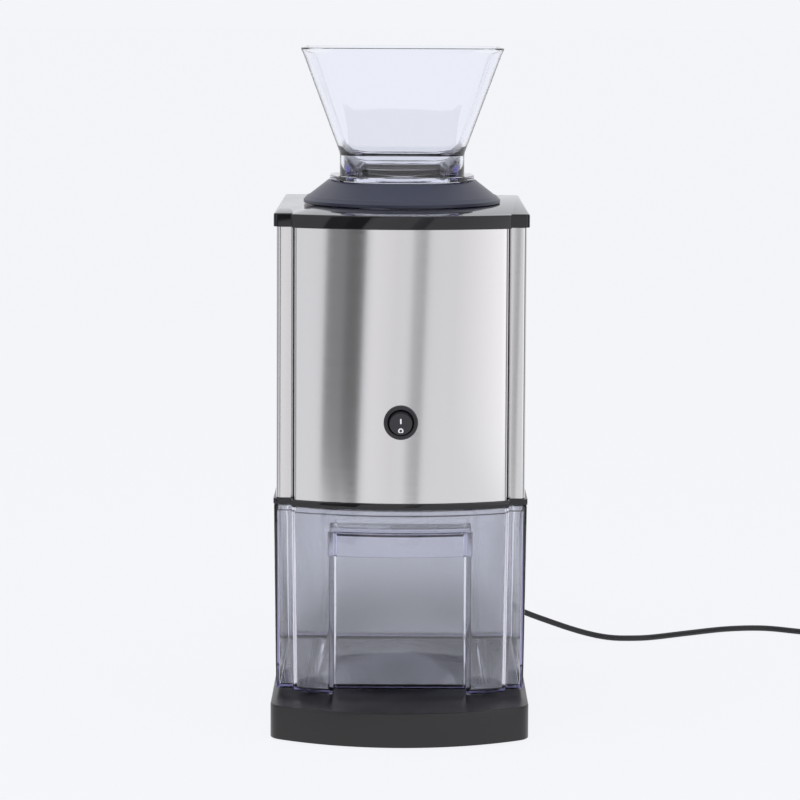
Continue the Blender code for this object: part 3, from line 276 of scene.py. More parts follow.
def grain_of(tree, place, size, detail, **values):
    """A noise whose grain is size millimetres."""
    made = add_node(tree, "ShaderNodeTexNoise", values={"Scale": per_mm(size), "Detail": detail, **values},
                    links={"Vector": place})
    return made.outputs["Fac"]


def cells_of(tree, place, size):
    """Distance from the middle of cells of size millimetres."""
    made = add_node(tree, "ShaderNodeTexVoronoi", values={"Scale": per_mm(size)}, links={"Vector": place})
    return made.outputs["Distance"]


def vary_roughness(tree, shader, source, low, high):
    spread = add_node(tree, "ShaderNodeMapRange", values={"From Min": 0.3, "From Max": 0.7, "To Min": low,
                                                          "To Max": high}, links={"Value": source})
    tree.links.new(spread.outputs["Result"], shader.inputs["Roughness"])


def vary_colour(tree, shader, source, dark, light):
    blend = add_node(tree, "ShaderNodeMix", {"data_type": "RGBA"}, {6: (*dark, 1), 7: (*light, 1)},
                     {0: source})
    tree.links.new(blend.outputs[2], shader.inputs["Base Color"])


def raise_bump(tree, shader, source, strength, distance):
    bump = add_node(tree, "ShaderNodeBump", values={"Strength": strength, "Distance": distance},
                    links={"Height": source})
    tree.links.new(bump.outputs["Normal"], shader.inputs["Normal"])


def shade(base, factor):
    return tuple(min(1, c * factor) for c in base)


def brushed_steel(name, base, roughness, grain, streak, relief):
    """Belt-brushed sheet: level scratches draw reflections out up and down and leave upright edges sharp."""
    made, tree, shader = start_material(name, base, roughness, Metallic=1.0, Anisotropic=0.5,
                                        Anisotropic_Rotation=0.25)
    place = texture_place(tree, (grain / streak, grain / streak, 1))
    fine = grain_of(tree, place, grain, 3, Roughness=0.6)
    wide = grain_of(tree, place, grain * 14, 2)
    both = add_node(tree, "ShaderNodeMath", {"operation": "MULTIPLY_ADD"}, {1: 0.35}, {0: wide, 2: fine})
    vary_colour(tree, shader, fine, shade(base, 0.97), shade(base, 1.02))
    vary_roughness(tree, shader, both.outputs["Value"], roughness * 0.85, roughness * 1.2)
    raise_bump(tree, shader, fine, relief, 0.00001)
    tangent = add_node(tree, "ShaderNodeTangent", {"direction_type": "RADIAL", "axis": "Z"})
    tree.links.new(tangent.outputs["Tangent"], shader.inputs["Tangent"])
    return made


def brushed_stainless_sheet():
    # Grain of 0.35 mm in place of the real 0.05 mm, which is too fine to show
    return brushed_steel("stainless_sheet_brushed", settings("colours").steel, 0.13, 0.35, 60, 0.05)


def satin_column_painted_shade():
    # The satin roughness is the column's own finish; its darker colour is painted shade behind the bin
    return brushed_steel("stainless_satin_painted_shade", settings("colours").column, 0.19, 0.35, 40, 0.006)


def machined_steel():
    """Turned and ground steel: fine tool marks that break up a low gloss."""
    made, tree, shader = start_material("steel_ground", linear("#B9B9BC"), 0.28, Metallic=1.0)
    marks = grain_of(tree, texture_place(tree), 0.6, 4)
    vary_roughness(tree, shader, marks, 0.20, 0.38)
    raise_bump(tree, shader, marks, 0.1, 0.00002)
    return made


def zinc_plated_steel():
    """Blue-white zinc plate: a cloudy spangle over a soft metal gloss."""
    made, tree, shader = start_material("steel_zinc_plated", linear("#C3C6CB"), 0.36, Metallic=1.0)
    place = texture_place(tree)
    vary_colour(tree, shader, cells_of(tree, place, 4), linear("#CACDD2"), linear("#B4B8BE"))
    vary_roughness(tree, shader, grain_of(tree, place, 2, 3), 0.28, 0.46)
    return made


def wound_copper():
    """Enamelled wire laid side by side, shown as fine parallel ridges, with painted shade in the grooves and
    painted highlight on the crowns.
    """
    made, tree, shader = start_material("copper_wire_enamelled", linear("#C4713B"), 0.35, Metallic=1.0,
                                        Coat_Weight=0.5, Coat_Roughness=0.2)
    place = texture_place(tree)
    wires = add_node(tree, "ShaderNodeTexWave", {"bands_direction": "Z"},
                     {"Scale": per_mm(0.6) / math.tau, "Distortion": 0.6, "Detail": 1}, {"Vector": place})
    # Painted shade in the grooves between the wires and painted highlight on their crowns
    vary_colour(tree, shader, wires.outputs["Fac"], linear("#7E3F1D"), linear("#D2854C"))
    raise_bump(tree, shader, wires.outputs["Fac"], 0.6, 0.0002)
    return made


def sintered_bronze():
    """Pressed and sintered powder: a warm metal with open pores, darker in them as painted shade."""
    made, tree, shader = start_material("bronze_sintered", linear("#B08A4E"), 0.45, Metallic=1.0)
    pores = cells_of(tree, texture_place(tree), 0.35)
    # Painted shade: the colour is darker in the pores
    vary_colour(tree, shader, pores, linear("#8A6A3A"), linear("#BC965A"))
    raise_bump(tree, shader, pores, 0.3, 0.00005)
    return made


def moulded(name, base, roughness, grain, depth, **sockets):
    """Injection-moulded plastic: an even colour, a fine tool texture and slightly uneven gloss."""
    made, tree, shader = start_material(name, base, roughness, **sockets)
    place = texture_place(tree)
    fine = grain_of(tree, place, grain, 3)
    cloud = grain_of(tree, place, 28, 2)
    vary_colour(tree, shader, cloud, shade(base, 0.93), shade(base, 1.07))
    vary_roughness(tree, shader, cloud, roughness * 0.88, roughness * 1.12)
    raise_bump(tree, shader, fine, 0.2, depth)
    return made


def gloss_black_abs():
    # Polished tool: deep black with a clear reflection
    return moulded("abs_moulded_gloss_black", settings("colours").cover, 0.07, 1.5, 0.000004, IOR=1.53)


def satin_black_abs():
    # Lightly spark-eroded tool: blue-grey sheen where light grazes it
    return moulded("abs_moulded_satin_black", settings("colours").collar, 0.36, 0.35, 0.00001, IOR=1.53)


def charcoal_abs():
    # Polished tool: charcoal, and a blurred mirror on its flat top
    return moulded("abs_moulded_charcoal", settings("colours").base, 0.32, 1.2, 0.000005, IOR=1.53)


def switch_nylon():
    # Glass-filled nylon of the bezel and the rocker: dark with a fine matt skin
    return moulded("nylon_moulded_black", linear("#1E1D22"), 0.34, 0.3, 0.00001, IOR=1.53)


def gear_nylon():
    # Unfilled nylon: milky, with light glowing in its thin teeth
    return moulded("nylon_moulded_natural", linear("#E6E4DA"), 0.42, 0.5, 0.00001, IOR=1.53,
                   Subsurface_Weight=0.2, Subsurface_Scale=0.002)


def grey_abs():
    return moulded("abs_moulded_grey", linear("#8D8D90"), 0.48, 0.4, 0.00002, IOR=1.53)


def food_polypropylene():
    # Waxy, slightly translucent light grey
    return moulded("polypropylene_moulded_grey", linear("#C9CBCE"), 0.38, 0.8, 0.00001, IOR=1.49,
                   Subsurface_Weight=0.15, Subsurface_Scale=0.003)


def foot_rubber():
    return moulded("rubber_moulded_black", linear("#1B1B1C"), 0.78, 0.4, 0.00003, IOR=1.52)


def cord_pvc():
    # Extruded and overmoulded PVC: dark, with a soft oily sheen
    return moulded("pvc_extruded_black", settings("colours").cord, 0.42, 0.5, 0.00001, IOR=1.53)


def seal_silicone():
    return moulded("silicone_moulded_translucent", linear("#B9BCC0"), 0.55, 0.6, 0.00002, IOR=1.41,
                   Subsurface_Weight=0.3, Subsurface_Scale=0.002)


def mark_ink():
    return moulded("paint_pad_printed_white", linear("#E4E4EA"), 0.5, 0.4, 0.000005, IOR=1.5)


TONER = (0.107, 0.036, 0.65, 1)     # what the blue toner lets through


def toned_san(name, density):
    """Clear moulded SAN with a blue toner: bright faces, blue-violet where one looks along a wall."""
    made, tree, shader = start_material(name, settings("colours").clear, 0.02, IOR=1.57,
                                        Transmission_Weight=1.0)
    flow = grain_of(tree, texture_place(tree), 22, 1)
    vary_roughness(tree, shader, flow, 0.01, 0.035)
    raise_bump(tree, shader, flow, 0.25, 0.0002)
    toner = add_node(tree, "ShaderNodeVolumeAbsorption", values={"Color": TONER, "Density": density})
    output = tree.nodes["Material Output"]
    tree.links.new(toner.outputs["Volume"], output.inputs["Volume"])
    return made


def clear_san():
    return toned_san("san_moulded_clear", 5)


def deep_san():
    # The webs stand behind one another, so they look deep blue together
    return toned_san("san_moulded_clear_thick", 200)


def bar_san():
    # The bar is seen through its whole depth, so its toner shows more than a wall's
    return toned_san("san_moulded_clear_bar", 22)


# Each finish, with the record's slot that it stands for
FINISHES = {
    "brushed_sheet": (brushed_stainless_sheet, "brushed_steel"),
    "satin_sheet_painted_shade": (satin_column_painted_shade, "brushed_steel"),
    "machined_steel": (machined_steel, "machined_steel"),
    "zinc_steel": (zinc_plated_steel, "zinc_steel"),
    "copper": (wound_copper, "copper_winding"),
    "bronze": (sintered_bronze, "bronze"),
    "black_gloss": (gloss_black_abs, "black_gloss"),
    "black_satin": (satin_black_abs, "black_satin"),
    "charcoal": (charcoal_abs, "charcoal_gloss"),
    "switch_nylon": (switch_nylon, "black_satin"),
    "clear": (clear_san, "clear_san"),
    "clear_deep": (deep_san, "clear_san"),
    "clear_bar": (bar_san, "clear_san"),
    "gear_nylon": (gear_nylon, "white_nylon"),
    "grey_abs": (grey_abs, "grey_plastic"),
    "food_plastic": (food_polypropylene, "food_plastic"),
    "rubber": (foot_rubber, "rubber"),
    "cord": (cord_pvc, "cord_pvc"),
    "silicone": (seal_silicone, "silicone"),
    "mark": (mark_ink, "white_nylon"),
}
MADE_FINISHES = {}


def finish_of(key):
    if key not in MADE_FINISHES:
        MADE_FINISHES[key] = FINISHES[key][0]()
    return MADE_FINISHES[key]


# --- shapes ---------------------------------------------------------------------------------------

def object_of(name, bm):
    """A mesh object from a bmesh, in the scene."""
    mesh = bpy.data.meshes.new(name)
    bm.to_mesh(mesh)
    bm.free()
    made = bpy.data.objects.new(name, mesh)
    bpy.context.scene.collection.objects.link(made)
    return made


def smooth(mesh, degrees):
    """Smooth round surfaces, with sharp edges above an angle."""
    mesh.shade_smooth()
    mesh.set_sharp_from_angle(angle=math.radians(degrees))


def add_bevel(piece, width, segments, degrees):
    modifier = piece.modifiers.new("soften", "BEVEL")
    modifier.width = width
    modifier.segments = segments
    modifier.limit_method = "ANGLE"
    modifier.angle_limit = math.radians(degrees)
    return modifier


def add_piece(name, bm, finish, body, replaces=(), at=(0, 0, 0), turn=(0, 0, 0), angle=32):
    """Turns a bmesh into a piece of the object that rides on a body."""
    bmesh.ops.recalc_face_normals(bm, faces=bm.faces)
    piece = object_of(name, bm)
    smooth(piece.data, angle)
    piece.location = at
    piece.rotation_euler = turn
    if finish:
        piece.data.materials.append(finish_of(finish))
        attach(piece, body)
    if replaces:
        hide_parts(*replaces)
    return piece


def settle(piece):
    """Makes a piece's modifiers part of its mesh and shades it again."""
    bpy.context.view_layer.update()
    graph = bpy.context.evaluated_depsgraph_get()
    mesh = bpy.data.meshes.new_from_object(piece.evaluated_get(graph))
    piece.modifiers.clear()
    piece.data = mesh
    smooth(mesh, 32)


def carve(piece, cutters, operation="DIFFERENCE"):
    """Cuts the cutters out of a piece, or joins them to it. A cutter is a bmesh, with its place and turn."""
    helpers = []
    for bm, at, turn in cutters:
        helper = add_piece("cutter", bm, None, None, at=at, turn=turn)
        helper.hide_render = True
        modifier = piece.modifiers.new("carve", "BOOLEAN")
        modifier.operation = operation
        modifier.object = helper
        helpers.append(helper)
    settle(piece)
    for helper in helpers:
        bpy.data.objects.remove(helper, do_unlink=True)


def soften(piece, width, segments=2, angle=38):
    """Rounds the sharp edges of a piece."""
    add_bevel(piece, width, segments, angle)
    settle(piece)


def loft(rings, around=False):
    """A skin over rings of equal point counts. around joins the last ring to the first, as in a tube."""
    bm = bmesh.new()
    rows = [[bm.verts.new(point) for point in ring] for ring in rings]
    pairs = list(zip(rows, rows[1:]))
    if around:
        pairs.append((rows[-1], rows[0]))
    for low, high in pairs:
        wall_between(bm, low, high)
    if not around:
        bm.faces.new(rows[0][::-1])
        bm.faces.new(rows[-1])
    return bm


def wall_between(bm, low, high):
    for k in range(len(low)):
        n = (k + 1) % len(low)
        bm.faces.new((low[k], low[n], high[n], high[k]))


def at_height(outline, z):
    return [(x, y, z) for x, y in outline]


def prism(outline, z0, z1):
    return loft([at_height(outline, z0), at_height(outline, z1)])


def box(x0, x1, y0, y1, z0, z1):
    return prism([(x0, y0), (x1, y0), (x1, y1), (x0, y1)], z0, z1)


def turned(profile, steps=64, closed=False):
    """Spins a profile of (radius, height) about Z. closed joins its ends, as on a ring."""
    bm = bmesh.new()
    points = [bm.verts.new((r, 0, z)) for r, z in profile]
    edges = [bm.edges.new(pair) for pair in zip(points, points[1:])]
    if closed:
        edges.append(bm.edges.new((points[-1], points[0])))
    bmesh.ops.spin(bm, geom=points + edges, cent=(0, 0, 0), axis=(0, 0, 1), angle=math.tau, steps=steps,
                   use_merge=True)
    bmesh.ops.remove_doubles(bm, verts=bm.verts, dist=1e-7)
    return bm


def rod(radius, z0, z1, steps=48):
    return turned([(0, z0), (radius, z0), (radius, z1), (0, z1)], steps)


def fillet(points, closed=True, steps=6):
    """An outline with rounded corners, from points of (x, y) or (x, y, radius)."""
    made = []
    for k, (x, y, *radius) in enumerate(points):
        here = Vector((x, y))
        if not radius or (not closed and k in (0, len(points) - 1)):
            made.append((x, y))
            continue
        back = (Vector(points[k - 1][:2]) - here).normalized()
        ahead = (Vector(points[(k + 1) % len(points)][:2]) - here).normalized()
        half = back.angle(ahead) / 2
        centre = here + (back + ahead).normalized() * (radius[0] / math.sin(half))
        start = here + back * (radius[0] / math.tan(half)) - centre
        end = here + ahead * (radius[0] / math.tan(half)) - centre
        first = math.atan2(start.y, start.x)
        sweep = (math.atan2(end.y, end.x) - first + math.pi) % math.tau - math.pi
        for share in np.linspace(0, 1, steps + 1):
            a = first + sweep * share
            made.append((centre.x + radius[0] * math.cos(a), centre.y + radius[0] * math.sin(a)))
    return made


def rounded_box(half_x, half_y, radius, centre=(0, 0), steps=8):
    x, y = centre
    corners = ((half_x, half_y), (-half_x, half_y), (-half_x, -half_y), (half_x, -half_y))
    return fillet([(x + dx, y + dy, radius) for dx, dy in corners], steps=steps)


def rounding(radius, z, up=True, steps=4):
    """(inset, height) pairs round an edge, from the upright wall to the flat face at z."""
    sign = 1 if up else -1
    return [(radius * (1 - math.cos(a)), z - sign * radius * (1 - math.sin(a)))
            for a in np.linspace(0, math.pi / 2, steps + 1)]


def mirrored(right, middle=()):
    """A whole outline from its right half, which runs away from the middle."""
    return [(-p[0], *p[1:]) for p in right[::-1]] + list(middle) + list(right)


def band(path, thickness):
    """Closed outline of a sheet that follows an open path, with its thickness on the left of the path."""
    points = [Vector(p) for p in path]
    steps = [(b - a).normalized() for a, b in zip(points, points[1:])]
    inner = []
    for point, before, after in zip(points, [steps[0], *steps], [*steps, steps[-1]]):
        first, second = Vector((-before.y, before.x)), Vector((-after.y, after.x))
        mitre = (first + second).normalized()
        inner.append(point + mitre * (thickness / mitre.dot(first)))
    return [tuple(p) for p in points] + [tuple(p) for p in inner[::-1]]


def bow_y(x, inset):
    """The bowed front's line, moved inward by inset."""
    s = settings("housing")
    radius = (s.step_half**2 + s.bow**2) / (2 * s.bow)
    return COVER[0].y + radius - math.sqrt((radius - inset) ** 2 - x**2)


def corner_front(inset):
    """The plane of the corner columns' fronts."""
    s = settings("housing")
    return COVER[0].y + s.bow + s.step + inset


def housing_side(inset, rear, start=0.0, steps=28):
    """Right half of the stepped outline, from start to the rear corner, with its corners' radii."""
    s = settings("housing")
    step_x = s.step_half - inset
    bow = [(x, bow_y(x, inset)) for x in np.linspace(start, step_x, steps)]
    return bow[:-1] + [
        (*bow[-1], max(s.notch_radius - inset, THIN)),
        (step_x, corner_front(inset), s.notch_radius + inset),
        (COVER_HALF - inset, corner_front(inset), max(s.corner_radius - inset, THIN)),
        (COVER_HALF - inset, rear, max(s.corner_radius - inset, THIN)),
    ]


def housing_outline(inset, rear):
    side = housing_side(inset, rear)
    return fillet(mirrored(side[1:], [side[0]]))


def rings_of(outline, pairs):
    """Rings from (inset, height) pairs."""
    return [at_height(outline(inset), z) for inset, z in pairs]


# --- base -----------------------------------------------------------------------------------------

def base_outline(inset):
    """Straight sides, a bowed front and a fillet where they meet."""
    s = settings("base")
    half = BASE[1].x
    radius = (half**2 + s.bow**2) / (2 * s.bow)
    centre_y = BASE[0].y + radius
    r = s.corner_radius
    fillet_y = centre_y - math.sqrt((radius - r) ** 2 - (half - r) ** 2)
    end = math.atan2(fillet_y - centre_y, half - r)
    right = []
    for a in np.linspace(-math.pi / 2, end, 24)[1:]:
        right.append(((radius - inset) * math.cos(a), centre_y + (radius - inset) * math.sin(a)))
    for a in np.linspace(end, 0, 10)[1:]:
        right.append((half - r + (r - inset) * math.cos(a), fillet_y + (r - inset) * math.sin(a)))
    right.append((half - inset, BASE[1].y - inset, s.back_radius - inset))
    return fillet(mirrored(right, [(0, BASE[0].y + inset)]))


class CRUSHER_OT_base(Operator):
    """Base shell, its floor plate and the four rubber feet"""

    bl_idname = "crusher.base"
    bl_label = "Base"

    def execute(self, context):
        wall, edge = settings("housing").wall, settings("housing").edge
        low, high = BASE[0].z, BASE[1].z
        inner = [(wall, high - wall), (wall, low)]
        outer = rounding(THIN, low, up=False)[::-1] + rounding(edge, high, steps=5)
        add_piece("base_moulding", loft(rings_of(base_outline, inner + outer)), "charcoal", "machine",
                  ["base_shell"])
        dress("base_plate", "grey_abs", 0.0003)
        for node in ("foot_front_left", "foot_front_right", "foot_rear_left", "foot_rear_right"):
            add_foot(node)
        return {"FINISHED"}


def add_foot(node):
    """Round pad with a soft lower edge and a shallow dish underneath."""
    low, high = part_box(node)
    radius, height = (high.x - low.x) / 2, high.z
    profile = [(0, 0.0006), (radius * 0.5, 0.0006), (radius * 0.6, 0.0)]
    profile += [(radius - inset, z) for inset, z in rounding(0.0009, 0, up=False)[::-1]]
    profile += [(radius - inset, z) for inset, z in rounding(0.0003, height)] + [(0, height)]
    add_piece(f"rubber_{node}", turned(profile, 40), "rubber", "machine", [node],
              at=((low.x + high.x) / 2, (low.y + high.y) / 2, 0))


# --- housing --------------------------------------------------------------------------------------

def add_sheet(name, node, path, thickness, finish="brushed_sheet"):
    """A folded sheet between the heights of its node."""
    low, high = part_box(node)
    return add_piece(name, prism(band(path, thickness), low.z, high.z), finish, "machine", [node])


class CRUSHER_OT_casing(Operator):
    """Brushed steel casing: bowed front, two folded sides, the column behind the bin and the rear panel"""

    bl_idname = "crusher.casing"
    bl_label = "Steel casing"

    def execute(self, context):
        s = settings("housing")
        setback = PANEL[0].y - COVER[0].y
        fold_back = corner_front(setback) + s.fold
        bow = [(x, bow_y(x, setback)) for x in np.linspace(0, PANEL[1].x, 56)]
        # The last points of the bow make way for the fold
        right = bow[1:-3] + [(*bow[-1], s.fold_radius), (PANEL[1].x, fold_back)]
        outline = fillet(mirrored(right, [bow[0]]), closed=False)
        front = add_sheet("casing_front", "front_panel", outline, s.sheet)
        hole = rod(settings("switch").body_radius + SEAT_GAP, -2 * OVERREACH, 2 * OVERREACH)
        carve(front, [(hole, (0, PANEL[0].y, SWITCH_Z), TURN_FRONT)])

        for side, sign in (("right", 1), ("left", -1)):
            low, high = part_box(f"side_panel_{side}")
            outer = max(abs(low.x), abs(high.x))
            inner = min(abs(low.x), abs(high.x))
            path = fillet([(inner, low.y + s.fold), (inner, low.y, s.fold_radius * 0.7),
                           (outer, low.y, s.corner_radius), (outer, high.y, s.fold_radius),
                           (outer - s.fold, high.y)], closed=False, steps=8)
            path = [(sign * x, y) for x, y in path]
            add_sheet(f"casing_side_{side}", f"side_panel_{side}", path, sign * s.sheet)

        right = [(COLUMN[1].x, COLUMN[0].y, s.corner_radius), (COLUMN[1].x, COLUMN[1].y, s.fold_radius),
                 (COLUMN[1].x - s.fold, COLUMN[1].y)]
        # The column's finish holds painted shade: its steel is darker than the casing's
        add_sheet("column_sheet", "rear_column", fillet(mirrored(right), closed=False, steps=8), s.sheet,
                  "satin_sheet_painted_shade")
        add_rear_panel()
        return {"FINISHED"}


def add_rear_panel():
    """Flat rear sheet with rounded corners, a field of cooling slots, the cord's hole and four screws."""
    low, high = REAR
    middle_z = (low.z + high.z) / 2
    outline = rounded_box(high.x, (high.z - low.z) / 2, REAR_CORNER_RADIUS, (0, -middle_z))
    thickness = high.y - low.y
    panel = add_piece("casing_rear", prism(outline, -thickness, 0), "brushed_sheet", "machine", ["rear_panel"],
                      at=(0, high.y, 0), turn=TURN_BACK)
    cutters = []
    for k in range(VENTS):
        z = VENT_FIRST + k * VENT_PITCH + VENT_HEIGHT / 2
        slot = rounded_box(VENT_HALF, VENT_HEIGHT / 2, VENT_HEIGHT / 2 - 0.0001, (0, -z))
        cutters.append((prism(slot, -OVERREACH, OVERREACH), (0, high.y, 0), TURN_BACK))
    centre = ((GLAND[0].x + GLAND[1].x) / 2, high.y, (GLAND[0].z + GLAND[1].z) / 2)
    cutters.append((rod(GLAND_HOLE_RADIUS, -2 * OVERREACH, 2 * OVERREACH), centre, TURN_BACK))
    carve(panel, cutters)
    soften(panel, 0.0002, 2)
    for end in ("low", "high"):
        for side in ("left", "right"):
            add_screw(f"rear_screw_{end}_{side}")


def add_screw(node):
    """Pan head with a cross recess."""
    low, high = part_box(node)
    radius, height = (high.x - low.x) / 2, high.y - low.y
    dome = [(radius * math.sin(a), height * (0.45 + 0.55 * math.cos(a)))
            for a in np.linspace(math.pi / 2, 0, 8)]
    place = ((low.x + high.x) / 2, low.y, (low.z + high.z) / 2)
    head = add_piece(f"{node}_head", turned([(0, 0), (radius, 0), *dome], 40), "zinc_steel", "machine", [node],
                     at=place, turn=TURN_BACK)
    arm, width = radius * 0.62, radius * 0.13
    bars = [(box(-arm, arm, -width, width, height * 0.35, height * 2), place, TURN_BACK),
            (box(-width, width, -arm, arm, height * 0.35, height * 2), place, TURN_BACK)]
    carve(head, bars)


class CRUSHER_OT_cover(Operator):
    """Top cover, the strip under the casing and the round feed collar"""

    bl_idname = "crusher.cover"
    bl_label = "Cover and collar"

    def execute(self, context):
        s = settings("housing")
        wall, low, high, rear = s.wall, COVER[0].z, COVER[1].z, COVER[1].y
        pairs = [(wall, high - wall), (wall, low)]
        pairs += rounding(THIN, low, up=False)[::-1] + rounding(s.edge, high)
        rings = rings_of(lambda inset: housing_outline(inset, rear), pairs)
        cover = add_piece("cover_moulding", loft(rings), "black_gloss", "machine", ["top_cover"])
        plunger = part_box("interlock_plunger")
        pin = ((plunger[0].x + plunger[1].x) / 2, (plunger[0].y + plunger[1].y) / 2, 0)
        pin_radius = (plunger[1].x - plunger[0].x) / 2 + PIN_CLEARANCE
        through = (low - OVERREACH, high + 3 * OVERREACH)
        carve(cover, [(rod(FEED_RADIUS, *through, 96), (0, FEED_Y, 0), (0, 0, 0)),
                      (rod(pin_radius, *through), pin, (0, 0, 0))])

        pairs = rounding(THIN, STRIP[0].z, up=False)[::-1] + rounding(THIN, STRIP[1].z)
        rings = rings_of(lambda inset: housing_outline(inset, STRIP[1].y), pairs)
        strip = add_piece("chassis_strip", loft(rings), "black_gloss", "machine", ["chassis_plate"])
        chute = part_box("ice_chute")
        half = chute[1].x + CHUTE_CLEARANCE
        hole = rounded_box(half, half, 0.006, (0, FEED_Y))
        lead_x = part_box("internal_lead")[0].x + LEAD_RADIUS
        reach = (STRIP[0].z - OVERREACH, STRIP[1].z + OVERREACH)
        carve(strip, [(prism(hole, *reach), *HERE),
                      (rod(LEAD_HOLE_RADIUS, *reach), (lead_x, LEAD_Y, 0), (0, 0, 0))])

        collar = add_piece("collar_moulding", turned(collar_profile(), 128, closed=True),
                           "black_satin", "machine", ["feed_collar"], at=(0, FEED_Y, COLLAR[0].z), angle=25)
        carve(collar, [(rod(pin_radius, *through), pin, (0, 0, 0))])
        return {"FINISHED"}


def collar_profile():
    """Stepped flange below, a cone above and an open middle, as a shell."""
    wall, outer = settings("housing").wall, COLLAR[1].x
    top = COLLAR[1].z - COLLAR[0].z
    step, flange = 0.0012, 0.0052
    cone_low, cone_high = outer - 0.0035, outer - 0.0165
    soft = 0.0004
    profile = [(outer - wall, 0), (outer - soft, 0), (outer, soft)]
    for k in range(3):
        r, z = outer - k * step, flange - (2 - k) * step
        profile += [(r, z - soft), (r - soft, z)]
    profile += [(cone_low, flange)]
    profile += [(cone_high - 0.001 + 0.001 * math.cos(a), top - 0.001 + 0.001 * math.sin(a))
                for a in np.linspace(0.5, math.pi / 2, 5)]
    profile += [(FEED_RADIUS + soft, top), (FEED_RADIUS, top - soft), (FEED_RADIUS, top - wall),
                (cone_high - 0.003, top - wall), (cone_low - wall, flange - 2 * step)]
    return profile


# --- bin ------------------------------------------------------------------------------------------

def bin_paths(inset, grow):
    """The bin's outline beside, behind and ahead of the finger recess. grow widens the recess."""
    s = settings("bin")
    half, back = s.recess_half + grow, COVER[0].y + s.recess_depth + grow
    side = housing_side(s.inset + inset, BIN[1].y - inset, half, 14)
    around = fillet(side + [(-p[0], *p[1:]) for p in side[::-1]], closed=False)
    end = around[-1]
    notch = fillet([end, (-half, back, 0.002), (half, back, 0.002), around[0]], closed=False)[1:-1]
    ahead = [(x, bow_y(x, s.inset + inset)) for x in np.linspace(-half, half, 26)[1:-1]]
    return around, notch, ahead


def bin_skin(bm, lower, upper):
    """One face of the bin's wall, with the recess up to the last lower level. Levels are (z, inset, grow)."""
    def ring(path, z):
        return [bm.verts.new((x, y, z)) for x, y in path]

    below = None
    for z, inset, grow in lower:
        around, notch, _ = bin_paths(inset, grow)
        outer, inner = ring(around, z), ring(notch, z)
        if below:
            wall_between(bm, below, outer + inner)
        else:
            bm.faces.new(outer + inner)
        below = outer + inner
    z, inset, grow = lower[-1]
    ahead = ring(bin_paths(inset, grow)[2], z)
    bm.faces.new([outer[-1], *inner, outer[0], *ahead[::-1]])
    below = outer + ahead
    for z, inset, grow in upper:
        around, _, front = bin_paths(inset, grow)
        above = ring(around, z) + ring(front, z)
        wall_between(bm, below, above)
        below = above
    return below


class CRUSHER_OT_ice_bin(Operator):
    """Clear bin with its finger recess, skids and handle"""

    bl_idname = "crusher.ice_bin"
    bl_label = "Ice bin"

    def execute(self, context):
        s = settings("bin")
        wall = s.wall
        top, skid_low = BIN[1].z, BIN[0].z
        low = skid_low + 0.0027
        roof = HANDLE[1].z
        foot_round = 0.0022

        def drafted(z):
            return s.draft * (top - z) / (top - low)

        bm = bmesh.new()
        lower = [(z, drafted(z) + e, e) for e, z in rounding(foot_round, low, up=False)[::-1]]
        lower.append((roof, drafted(roof), 0))
        upper = [(z, e, 0) for e, z in rounding(0.0006, top)]
        outside = bin_skin(bm, lower, upper)
        lower = [(z, drafted(z) + wall + e, wall + e)
                 for e, z in rounding(foot_round - 0.0007, low + wall, up=False)[::-1]]
        lower.append((roof + wall, drafted(roof) + wall, wall))
        lip_z = top - s.lip_height
        upper = [(lip_z - s.lip, wall + drafted(lip_z), wall), (lip_z, wall + s.lip, wall)]
        upper += [(z, wall + s.lip - 0.0006 + e, wall) for e, z in reversed_rounding(0.0006, top)]
        inside = bin_skin(bm, lower, upper)
        wall_between(bm, outside, inside)
        tray = add_piece("bin_moulding", bm, "clear", "bin", ["ice_bin"])
        front, rear = corner_front(0) + 0.008, BIN[1].y - 0.006
        skids = []
        for sign in (-1, 1):
            centre = (sign * s.skid_x, (front + rear) / 2)
            outline = rounded_box(s.skid_width / 2, (rear - front) / 2, 0.002, centre)
            skids.append((prism(outline, skid_low, low + wall / 2), *HERE))
        carve(tray, skids, "UNION")
        soften(tray, 0.0005, 2, 42)
        add_handle()
        return {"FINISHED"}


def reversed_rounding(radius, z):
    """The inner edge of a rim: the inset falls from radius as the height falls from z."""
    return [(radius - e, height) for e, height in rounding(radius, z)]


def add_handle():
    """Bar across the front of the recess, with a ledge on top and a bracket at each end inside the recess."""
    s = settings("bin")
    low, high = HANDLE[0].z, HANDLE[1].z
    half = HANDLE[1].x
    near, far = s.inset - SEAT_GAP, s.inset - SEAT_GAP - s.handle_thickness
    xs = np.linspace(-half, half, 40)
    bar = [(x, bow_y(x, far)) for x in xs] + [(x, bow_y(x, near)) for x in xs[::-1]]
    handle = add_piece("bin_handle_bar", prism(bar, low, high), "clear_bar", "bin", ["bin_handle"])
    reach = 0.009
    inner = s.recess_half - SEAT_GAP
    ledge = [(x, bow_y(x, near - 0.001)) for x in np.linspace(-inner, inner, 40)]
    ledge += [(x, bow_y(x, near + reach)) for x in np.linspace(inner, -inner, 40)]
    thickness = 0.0022
    joined = [(prism(ledge, high - thickness - SEAT_GAP, high - SEAT_GAP), *HERE)]
    for sign in (-1, 1):
        x0, x1 = sorted((sign * (inner - thickness), sign * inner))
        front = bow_y(inner, near - 0.001)
        joined.append((box(x0, x1, front, front + reach, low, high - SEAT_GAP - 0.0002), *HERE))
    carve(handle, joined, "UNION")
    soften(handle, 0.0005, 3)


# --- hopper ---------------------------------------------------------------------------------------

